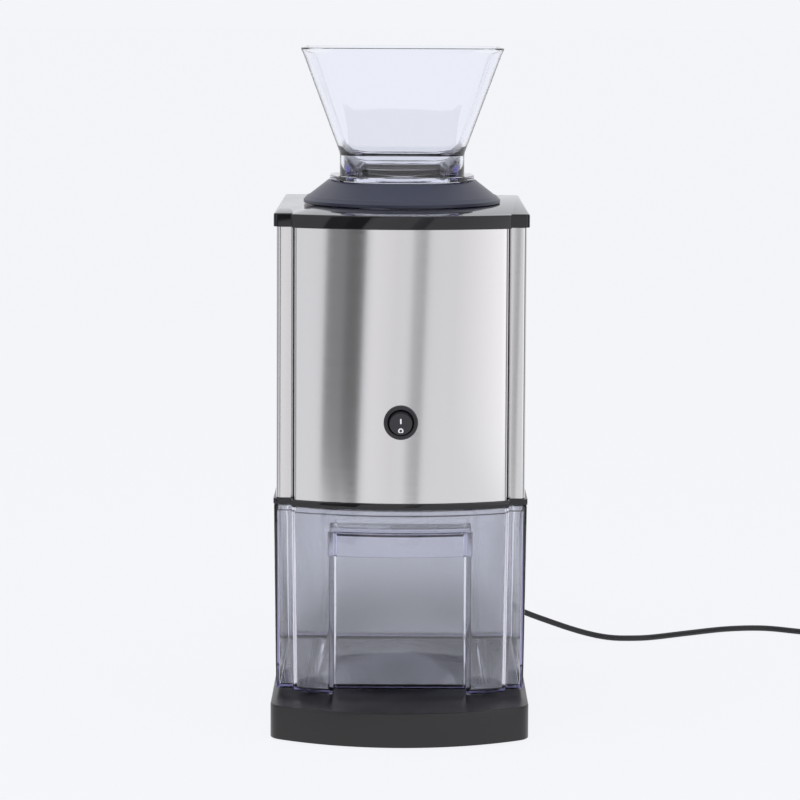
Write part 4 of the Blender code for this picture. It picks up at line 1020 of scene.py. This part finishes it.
class CRUSHER_OT_hopper(Operator):
    """Clear feed funnel with its skirt, flange, throat and gussets"""

    bl_idname = "crusher.hopper"
    bl_label = "Hopper"

    def execute(self, context):
        s = settings("hopper")
        wall, rim_half = s.wall, HOPPER[1].x
        rim, spigot = HOPPER[1].z, HOPPER[0].z
        seat = COLLAR[1].z + SEAT_GAP
        foot = seat + s.flange_thickness
        skirt_top = seat + s.skirt_height
        neck = s.skirt_half - wall
        flange_radius = s.flange_half - 0.006

        def ring(half, radius, z, sag=0.0):
            outline = side_points(rounded_box(half, half, radius, (0, FEED_Y), 12), 13)
            return [(x, y, z - sag * (1 - (min(abs(x), abs(y - FEED_Y)) / half) ** 2)) for x, y in outline]

        def flare(share, inset):
            """Half width, radius and height at a share of the way from the skirt to the rim."""
            half = s.skirt_half + (rim_half - s.skirt_half) * share
            radius = s.skirt_radius + (s.rim_radius - s.skirt_radius) * share
            return half - inset, radius - inset, skirt_top + (rim - skirt_top) * share

        rings = [ring(rim_half - wall / 2, s.rim_radius - wall / 2, rim)]
        rings += [ring(rim_half - e, s.rim_radius - e, z)
                  for e, z in rounding(RIM_ROUNDING, rim, steps=3)[::-1]]
        rings += [ring(*flare(share, 0)) for share in (0.94, 0.8, 0.6, 0.4, 0.2, 0.08, 0.02)]
        outer_throat, radius = s.throat_half + wall, s.throat_radius + wall
        narrow = s.skirt_radius - wall
        rings += [ring(s.skirt_half, s.skirt_radius, skirt_top - 0.0012),
                  ring(s.skirt_half, s.skirt_radius, foot + 0.0008),
                  ring(s.skirt_half + 0.0006, s.skirt_radius + 0.0006, foot),
                  ring(s.flange_half - 0.0006, flange_radius, foot),
                  ring(s.flange_half, flange_radius, foot - 0.0006),
                  ring(s.flange_half, flange_radius, seat + 0.0004),
                  ring(s.flange_half - 0.0004, flange_radius, seat), ring(neck + 0.0004, narrow, seat),
                  ring(neck, narrow, seat + 0.0004), ring(neck, narrow, skirt_top - wall)]
        under_low, under_high = foot - 0.0005, skirt_top - 0.0010
        for u in np.linspace(1, 0, 7):
            rings.append(ring(outer_throat + (neck - outer_throat) * u, radius + (narrow - radius) * u,
                              under_low + (under_high - under_low) * u, s.sag * (1 - u)))
        rings += [ring(outer_throat, radius, foot - 0.005), ring(outer_throat, radius, spigot + 0.0005),
                  ring(outer_throat - 0.0005, radius, spigot),
                  ring(s.throat_half + 0.0005, s.throat_radius, spigot),
                  ring(s.throat_half, s.throat_radius, spigot + 0.0005),
                  ring(s.throat_half, s.throat_radius, foot - 0.0035)]
        bowl_low, bowl_high = foot + wall * 0.6, skirt_top + wall / 2
        for u in np.linspace(0, 1, 9):
            rings.append(ring(s.throat_half + (neck - s.throat_half) * u,
                              s.throat_radius + (narrow - s.throat_radius) * u,
                              bowl_low + (bowl_high - bowl_low) * u, s.sag * (1 - u)))
        rings += [ring(*flare(share, wall)) for share in (0.06, 0.12, 0.2, 0.4, 0.6, 0.8, 0.94)]
        rings += [ring(rim_half - wall + e, s.rim_radius - wall + e, z)
                  for e, z in rounding(RIM_ROUNDING, rim, steps=3)]
        add_piece("hopper_moulding", loft(rings, around=True), "clear", "hopper", ["ice_hopper"], angle=40)
        add_gussets(neck, outer_throat, foot, skirt_top)
        return {"FINISHED"}


def side_points(outline, corner, count=8):
    """Adds points along the straight sides of an outline whose corners hold this many points each."""
    points = []
    for k in range(0, len(outline), corner):
        points += outline[k:k + corner]
        start, end = Vector(points[-1]), Vector(outline[(k + corner) % len(outline)])
        points += [tuple(start.lerp(end, share)) for share in np.linspace(0, 1, count + 2)[1:-1]]
    return points


def add_gussets(neck, throat, foot, skirt_top):
    """Eight small webs under the funnel that brace the skirt against the throat."""
    bm = bmesh.new()
    half, clear = 0.0016, 0.00005
    inner, outer = throat + clear, neck - clear
    low, high = foot - 0.0022, skirt_top - 0.0026
    web = ((outer, low), (outer, high), (inner + 0.0010, foot - 0.0012), (inner, low))
    for sign in (-1, 1):
        for offset in (-0.020, -0.007, 0.007, 0.020):
            rows = [[bm.verts.new((sign * x, FEED_Y + offset + y, z)) for x, z in web]
                    for y in (-half, half)]
            wall_between(bm, *rows)
            bm.faces.new(rows[0][::-1])
            bm.faces.new(rows[1])
    gussets = add_piece("hopper_gussets", bm, "clear_deep", "hopper")
    soften(gussets, 0.0002, 2)


# --- switch ---------------------------------------------------------------------------------------

class CRUSHER_OT_switch(Operator):
    """Round rocker switch with its bezel and the two generic marks"""

    bl_idname = "crusher.switch"
    bl_label = "Switch"

    def execute(self, context):
        s = settings("switch")
        skin = PANEL[0].y
        place = (0, skin, SWITCH_Z)
        pocket, rim, top = s.rocker_radius + 0.0005, s.bezel_radius, s.bezel_height
        depth, shoulder = SWITCH[1].y - skin, 0.0014
        profile = [(0, -depth), (s.body_radius - 0.0005, -depth), (s.body_radius, -depth + 0.0005),
                   (s.body_radius, SEAT_GAP), (rim - 0.0002, SEAT_GAP), (rim, 0.0006)]
        profile += [(rim - e, z) for e, z in rounding(0.0006, top - 0.0005)]
        profile += [(rim - shoulder, top - 0.00045), (rim - shoulder - 0.0003, top)]
        profile += [(pocket + 0.0005, top), (pocket + 0.0001, top - 0.0004), (pocket, top - 0.0012),
                    (pocket, -POCKET_DEPTH), (0, -POCKET_DEPTH)]
        add_piece("switch_bezel", turned(profile, 96), "switch_nylon", "machine", ["switch_housing"], place,
                  TURN_FRONT, angle=28)
        tilt = (math.pi / 2 + s.tilt, 0, 0)
        rocker = add_piece("switch_rocker_cap", rocker_shape(s.rocker_radius), "switch_nylon", "rocker",
                           ["switch_rocker"], place, tilt)
        for name, bm, offset in (bar_mark(s.mark_radius), ring_mark(s.mark_radius)):
            height = dish(offset) - 0.00012
            spot = rocker.matrix_world @ Vector((0, offset, height))
            add_piece(name, bm, "mark", "rocker", at=spot, turn=tilt)
        return {"FINISHED"}


def dish(y):
    """Height of the rocker's face at a distance from its middle."""
    return DISH_HEIGHT + DISH_RISE * (y / settings("switch").rocker_radius) ** 2


def rocker_shape(radius):
    """A round cap whose face is dished from top to bottom and whose side follows its swing."""
    back, edge = -0.0046, 0.0007
    steps = 72
    bm = bmesh.new()
    rows = []
    spots = [(0.15, 1), (0.35, 1), (0.6, 1), (0.8, 1)]
    rim = [((radius - edge + edge * math.sin(a)) / radius, math.cos(a)) for a in np.linspace(0, math.pi / 2, 5)]
    for share, drop in spots + rim:
        row = []
        for k in range(steps):
            a = k * math.tau / steps
            x, y = radius * share * math.cos(a), radius * share * math.sin(a)
            limit = math.sqrt(radius**2 - 0.0030**2) / radius
            x, y = x * min(1, limit / share), y * min(1, limit / share)
            row.append(bm.verts.new((x, y, dish(y) - edge * (1 - drop))))
        rows.append(row)
    for z in np.linspace(0.0022, back, 7):
        r = math.sqrt(radius**2 - z**2)
        rows.append([bm.verts.new((r * math.cos(k * math.tau / steps), r * math.sin(k * math.tau / steps), z))
                     for k in range(steps)])
    for upper, lower in zip(rows, rows[1:]):
        wall_between(bm, upper, lower)
    bm.faces.new(rows[0])
    bm.faces.new(rows[-1])
    return bm


def bar_mark(radius):
    outline = rounded_box(0.00050, radius, 0.0004, steps=4)
    return "switch_mark_bar", prism(outline, 0, 0.0002), 0.0019


def ring_mark(radius):
    inner = radius * 0.52
    profile = [(inner, 0), (radius, 0), (radius, 0.0002), (inner, 0.0002)]
    return "switch_mark_ring", turned(profile, 48, closed=True), -0.0047


# --- cord -----------------------------------------------------------------------------------------

def smooth_route(points, spacing):
    """Points a spacing apart along a smooth curve through the given ones."""
    ends = [Vector(p) for p in points]
    ends = [2 * ends[0] - ends[1], *ends, 2 * ends[-1] - ends[-2]]
    fine = []
    for a, b, c, d in zip(ends, ends[1:], ends[2:], ends[3:]):
        for t in np.linspace(0, 1, 12, endpoint=False):
            fine.append(0.5 * (2 * b + (c - a) * t + (2 * a - 5 * b + 4 * c - d) * t**2
                               + (3 * b - a - 3 * c + d) * t**3))
    fine.append(ends[-2])
    lengths = [0.0]
    for a, b in zip(fine, fine[1:]):
        lengths.append(lengths[-1] + (b - a).length)
    table = np.array(fine)
    spots = np.linspace(0, lengths[-1], round(lengths[-1] / spacing) + 1)
    return [tuple(float(np.interp(s, lengths, table[:, axis])) for axis in range(3)) for s in spots]


def coil_points(per_turn=30):
    """The winding, from its entry to where it leaves towards the plug."""
    turns, radii, heights = zip(*COIL_WAY)
    points = []
    for turn in np.arange(1, round(turns[-1] * per_turn) + 1) / per_turn:
        k = max(j for j in range(len(turns) - 1) if turns[j] <= turn)
        share = min(1, (turn - turns[k]) / (turns[k + 1] - turns[k]))
        share = share * share * (3 - 2 * share)
        radius = radii[k] + (radii[k + 1] - radii[k]) * share
        height = heights[k] + (heights[k + 1] - heights[k]) * share
        a = COIL_START - turn * math.tau
        points.append((COIL_CENTRE[0] + radius * math.cos(a), COIL_CENTRE[1] + radius * math.sin(a), height))
    return points


def cord_path():
    start = Vector((COIL_CENTRE[0] + COIL_WAY[0][1] * math.cos(COIL_START),
                    COIL_CENTRE[1] + COIL_WAY[0][1] * math.sin(COIL_START), COIL_WAY[0][2]))
    winding = coil_points()
    last, plug = Vector(winding[-1]), Vector(PLUG_AT)
    tail = []
    for share in (0.33, 0.66, 1.0):
        point = last.lerp(plug, share)
        drop = max(0, (share - 0.4) / 0.6) ** 1.6
        point.z = last.z + (plug.z - last.z) * drop
        tail.append(tuple(point))
    return smooth_route([*CORD_ROUTE, tuple(start), *winding, *tail], 0.0035)


class CRUSHER_OT_cord(Operator):
    """Mains cord with its anchorage, coil, tie and plug"""

    bl_idname = "crusher.cord"
    bl_label = "Cord"

    def execute(self, context):
        s = settings("cord")
        gland = add_gland(s.diameter / 2)
        plug = add_plug()
        pins = add_pins()
        tie = add_tie()
        points = cord_path()
        curve = bpy.data.curves.new("mains_cord", "CURVE")
        curve.dimensions = "3D"
        curve.bevel_depth = s.diameter / 2
        curve.bevel_resolution = 5
        curve.use_fill_caps = True
        spline = curve.splines.new("POLY")
        spline.points.add(len(points) - 1)
        for spot, point in zip(spline.points, points):
            spot.co = (*point, 1)
        spline.use_smooth = True
        curve.materials.append(finish_of("cord"))
        cord = bpy.data.objects.new("mains_cord", curve)
        bpy.context.scene.collection.objects.link(cord)
        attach(cord, "machine")
        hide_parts("power_cord", "cord_coil")
        return {"FINISHED"}


def add_gland(radius):
    """Anchorage: a flange on the panel and a ribbed, tapering strain relief."""
    centre = ((GLAND[0].x + GLAND[1].x) / 2, REAR[1].y, (GLAND[0].z + GLAND[1].z) / 2)
    reach, flange = GLAND[1].y - REAR[1].y, GLAND[1].x - centre[0]
    inside = GLAND[0].y - REAR[1].y
    profile = [(0, inside), (flange - 0.0030, inside), (flange - 0.0025, inside + 0.0005),
               (flange - 0.0025, SEAT_GAP), (flange - 0.0002, SEAT_GAP)]
    profile += [(flange - e, z) for e, z in rounding(0.0008, 0.0025)]
    thick, thin = radius + 0.0024, radius + 0.0007
    ribs, first = 6, 0.0045
    pitch = (reach - 0.004 - first) / ribs
    for k in range(ribs):
        z = first + k * pitch
        r = thick + (thin - thick) * k / ribs
        profile += [(r - 0.0008, z), (r, z + 0.0005), (r - 0.0001, z + pitch * 0.55),
                    (r - 0.0009, z + pitch * 0.62)]
    profile += [(radius + 0.0005, reach - 0.003), (radius + 0.0003, reach), (0, reach)]
    return add_piece("cord_anchorage", turned(profile, 48), "cord", "machine", ["cord_gland"], centre,
                     TURN_BACK)


def add_plug():
    """Flat two-pin plug body with finger grips, as one tapering skin."""
    # Distance along the plug, half width and half thickness
    sections = ((0, 0.0036, 0.0036), (0.001, 0.0042, 0.0042), (0.006, 0.0050, 0.0046),
                (0.009, 0.0066, 0.0052), (0.012, 0.0115, 0.0062), (0.016, 0.0155, 0.0066),
                (0.022, 0.0168, 0.0064), (0.026, 0.0172, 0.0062), (0.030, 0.0175, 0.0066),
                (0.033, 0.0168, 0.0068), (0.0355, 0.0150, 0.0066), (0.036, 0.0142, 0.0060))
    rings = [at_height(rounded_box(x, y, min(x, y) * 0.72, steps=8), z) for z, x, y in sections]
    return add_piece("plug_body", loft(rings), "cord", "machine", ["power_plug"], PLUG_AT, PLUG_TURN, angle=50)


def add_pins():
    """The plug's two round pins."""
    bm = bmesh.new()
    root, pin_radius, tip = 0.0362, 0.0020, 0.0550
    profile = [(0, root), (pin_radius, root), (pin_radius, tip - 0.0012), (pin_radius * 0.8, tip - 0.0004),
               (pin_radius * 0.5, tip), (0, tip)]
    for sign in (-1, 1):
        pin = turned(profile, 32)
        mesh = bpy.data.meshes.new("pin")
        for vert in pin.verts:
            vert.co.x += sign * PIN_DISTANCE
        pin.to_mesh(mesh)
        pin.free()
        bm.from_mesh(mesh)
        bpy.data.meshes.remove(mesh)
    return add_piece("plug_pins", bm, "machined_steel", "machine", (), PLUG_AT, PLUG_TURN)


def add_tie():
    """Soft strap round the coil's bundle of turns."""
    middle = (COIL_WAY[0][1] + COIL_WAY[2][1]) / 2
    radius = settings("cord").diameter / 2
    half_x = (COIL_WAY[0][1] - COIL_WAY[2][1]) / 2 + radius + 0.0006
    low, high = 0.0001, COIL_WAY[-1][2] + radius + 0.0006
    half_z, centre_z = (high - low) / 2, (high + low) / 2
    outer = rounded_box(half_x, half_z, 0.0026, (0, centre_z))
    inner = rounded_box(half_x - 0.0005, half_z - 0.0005, 0.0021, (0, centre_z))
    half_width = 0.005
    rings = [at_height(outer, -half_width), at_height(outer, half_width), at_height(inner, half_width),
             at_height(inner, -half_width)]
    heading = math.radians(215)
    place = (COIL_CENTRE[0] + middle * math.cos(heading), COIL_CENTRE[1] + middle * math.sin(heading), 0)
    return add_piece("cord_tie", loft(rings, around=True), "rubber", "machine", (), place,
                     (math.pi / 2, 0, heading))


# --- works ----------------------------------------------------------------------------------------

# Inner pieces that keep their mechanical shape: node, finish and the rounding of its edges
WORKS = (
    ("crusher_chamber", "food_plastic", 0.0005), ("chamber_gasket", "silicone", 0.0002),
    ("ice_chute", "food_plastic", 0.0005), ("fixed_comb", "machined_steel", 0.0003),
    ("knife_rotor", "machined_steel", 0.0), ("rotor_shaft", "machined_steel", 0.0),
    ("rotor_gear", "gear_nylon", 0.0002), ("bush_left", "bronze", 0.0002), ("bush_right", "bronze", 0.0002),
    ("intermediate_gear", "gear_nylon", 0.0002), ("intermediate_axle", "machined_steel", 0.0002),
    ("gear_plate", "zinc_steel", 0.0002), ("gear_bridge", "zinc_steel", 0.0002),
    ("motor_can", "zinc_steel", 0.0), ("motor_end_cap", "grey_abs", 0.0002),
    ("motor_shaft", "machined_steel", 0.0), ("armature", "copper", 0.0),
    ("motor_pinion", "machined_steel", 0.0), ("cooling_fan", "black_satin", 0.0002),
    ("motor_screw_1", "zinc_steel", 0.0), ("motor_screw_2", "zinc_steel", 0.0),
    ("interlock_switch", "switch_nylon", 0.0003), ("interlock_plunger", "gear_nylon", 0.0),
    ("terminal_block", "gear_nylon", 0.0004), ("internal_lead", "gear_nylon", 0.0),
)


def dress(node, finish, edge):
    """Gives a carried-over node its finish, joined faces, smooth round surfaces and softened edges."""
    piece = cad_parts[node]
    piece.data.materials.clear()
    piece.data.materials.append(finish_of(finish))
    if "custom_normal" in piece.data.attributes:
        piece.data.attributes.remove(piece.data.attributes["custom_normal"])
    smooth(piece.data, 32)
    weld = piece.modifiers.new("weld", "WELD")
    weld.merge_threshold = 0.00001
    if edge:
        add_bevel(piece, edge, 2, 38).harden_normals = True


class CRUSHER_OT_works(Operator):
    """Crusher, gears, motor and wiring inside the housing"""

    bl_idname = "crusher.works"
    bl_label = "Works"

    def execute(self, context):
        for node, finish, edge in WORKS:
            dress(node, finish, edge)
        return {"FINISHED"}


# --- stage ----------------------------------------------------------------------------------------

BOARD_Y = -0.75                 # plane of the boards beside the camera
BOARD_PIVOT = 0.165             # height at which a leaning board keeps its place
BOARD_HALF_HEIGHT = 0.45
BOARD_LIFT = 0.01               # the boards' lower edge, above the floor
SIDE_BOARD_X = 0.8
# Boards beside the camera: name, left and right edge, and the level of light at each
BOARDS = (
    ("dark_board_outer", -0.498, -0.350, (0.25, 0.29)), ("dark_board_inner", -0.350, -0.230, (0.17, 0.14)),
    ("left_board", -0.194, -0.018, (1.05, 0.88)), ("grey_board", 0.046, 0.127, (0.64, 0.42)),
    ("bright_board", 0.299, 1.050, (0.90, 1.55)),
)


def add_board(name, start, end, levels, lean=math.radians(13)):
    """Board between two floor points that shows only in reflections, with a level of light at each end."""
    bm = bmesh.new()
    way = Vector(end) - Vector(start)
    w, h = way.length / 2, BOARD_HALF_HEIGHT
    bm.faces.new([bm.verts.new(p) for p in ((-w, 0, -h), (w, 0, -h), (w, 0, h), (-w, 0, h))])
    board = object_of(name, bm)
    middle_z = h + BOARD_LIFT
    centre = (Vector(start) + Vector(end)) / 2 + way.normalized() * (middle_z - BOARD_PIVOT) * math.tan(lean)
    board.location = (*centre, middle_z)
    board.rotation_euler = (0, lean, math.atan2(way.y, way.x))
    made = bpy.data.materials.new(name)
    made.use_nodes = True
    tree = made.node_tree
    tree.nodes.clear()
    coordinates = add_node(tree, "ShaderNodeTexCoord")
    axes = add_node(tree, "ShaderNodeSeparateXYZ", links={"Vector": coordinates.outputs["Object"]})
    sockets = {"From Min": -w, "From Max": w, "To Min": levels[0], "To Max": levels[1]}
    level = add_node(tree, "ShaderNodeMapRange", values=sockets, links={"Value": axes.outputs["X"]})
    glow = add_node(tree, "ShaderNodeEmission", values={"Color": (0.98, 0.97, 1.0, 1)},
                    links={"Strength": level.outputs["Result"]})
    add_node(tree, "ShaderNodeOutputMaterial", links={"Surface": glow.outputs["Emission"]})
    board.data.materials.append(made)
    board.visible_camera = False
    board.visible_diffuse = False
    board.visible_shadow = False
    board.visible_transmission = False


def add_softbox(name, place, target, width, height, power):
    light = bpy.data.lights.new(name, "AREA")
    light.shape = "RECTANGLE"
    light.size = width
    light.size_y = height
    light.energy = power
    lamp = bpy.data.objects.new(name, light)
    lamp.location = place
    lamp.visible_glossy = False
    lamp.visible_transmission = False
    lamp.rotation_euler = (Vector(place) - Vector(target)).to_track_quat("Z", "Y").to_euler()
    bpy.context.scene.collection.objects.link(lamp)


def add_floor(pale):
    """Wide pale floor that glows a little, so that it meets the backdrop without an edge."""
    bm = bmesh.new()
    bmesh.ops.create_circle(bm, cap_ends=True, segments=64, radius=60)
    floor = object_of("floor", bm)
    made, _, _ = start_material("studio_floor", (0.04, 0.04, 0.04), 1.0, Specular_IOR_Level=0.0,
                                Emission_Color=(*pale, 1), Emission_Strength=0.955)
    floor.data.materials.append(made)


def add_camera(scene):
    s = settings("stage")
    data = bpy.data.cameras.new("camera")
    data.lens = s.lens
    data.sensor_width = 36
    data.shift_x = -0.0021
    data.shift_y = -0.19
    data.clip_end = 200
    camera = bpy.data.objects.new("camera", data)
    camera.location = (0, -s.camera_distance, s.camera_height)
    look = Euler((math.pi / 2 - s.pitch, 0, 0)).to_matrix() @ Matrix.Rotation(s.roll, 3, "Z")
    camera.rotation_euler = look.to_euler()
    scene.collection.objects.link(camera)
    scene.camera = camera


class CRUSHER_OT_stage(Operator):
    """Pale floor, soft light, reflection boards and the camera"""

    bl_idname = "crusher.stage"
    bl_label = "Stage"

    def execute(self, context):
        scene = context.scene
        pale = tuple(settings("stage").background)
        world = bpy.data.worlds.new("studio")
        world.use_nodes = True
        world.node_tree.nodes["Background"].inputs["Color"].default_value = (*pale, 1)
        scene.world = world
        add_floor(pale)
        for name, left, right, levels in BOARDS:
            add_board(name, (left, BOARD_Y), (right, BOARD_Y), levels)
        for side, x in (("left", -SIDE_BOARD_X), ("right", SIDE_BOARD_X)):
            add_board(f"side_board_{side}", (x, -0.45), (x, 0.1), (0.35, 0.35), lean=0)
        middle = (0, 0, 0.25)
        add_softbox("right_softbox", (1.35, -1.25, 0.6), middle, 0.7, 1.6, 9)
        add_softbox("top_softbox", (-0.4, -0.5, 1.8), middle, 1.4, 1.2, 14)
        add_camera(scene)
        scene.view_settings.view_transform = "Standard"
        return {"FINISHED"}


# --- add-on ---------------------------------------------------------------------------------------

OPERATORS = (CRUSHER_OT_stage, CRUSHER_OT_cord, CRUSHER_OT_base, CRUSHER_OT_casing, CRUSHER_OT_cover,
             CRUSHER_OT_ice_bin, CRUSHER_OT_hopper, CRUSHER_OT_switch, CRUSHER_OT_works)


class CRUSHER_PT_panel(Panel):
    """Buttons and sizes for the ice crusher"""

    bl_idname = "CRUSHER_PT_panel"
    bl_label = "Ice crusher"
    bl_space_type = "VIEW_3D"
    bl_region_type = "UI"
    bl_category = "Ice crusher"

    def draw(self, context):
        for operator in OPERATORS:
            self.layout.operator(operator.bl_idname)
        for name, group in SETTINGS.items():
            box_layout = self.layout.box()
            box_layout.label(text=name.capitalize())
            for key in group.__annotations__:
                box_layout.prop(settings(name), key)


def register():
    for name, group in SETTINGS.items():
        bpy.utils.register_class(group)
        setattr(bpy.types.Scene, f"crusher_{name}", PointerProperty(type=group))
    for made in (*OPERATORS, CRUSHER_PT_panel):
        bpy.utils.register_class(made)


def unregister():
    for made in (CRUSHER_PT_panel, *OPERATORS[::-1]):
        bpy.utils.unregister_class(made)
    for name, group in SETTINGS.items():
        delattr(bpy.types.Scene, f"crusher_{name}")
        bpy.utils.unregister_class(group)


def main():
    register()
    bpy.ops.crusher.stage()
    bpy.ops.crusher.cord()
    bpy.ops.crusher.base()
    bpy.ops.crusher.casing()
    bpy.ops.crusher.cover()
    bpy.ops.crusher.ice_bin()
    bpy.ops.crusher.hopper()
    bpy.ops.crusher.switch()
    bpy.ops.crusher.works()


if __name__ == "__main__":
    main()
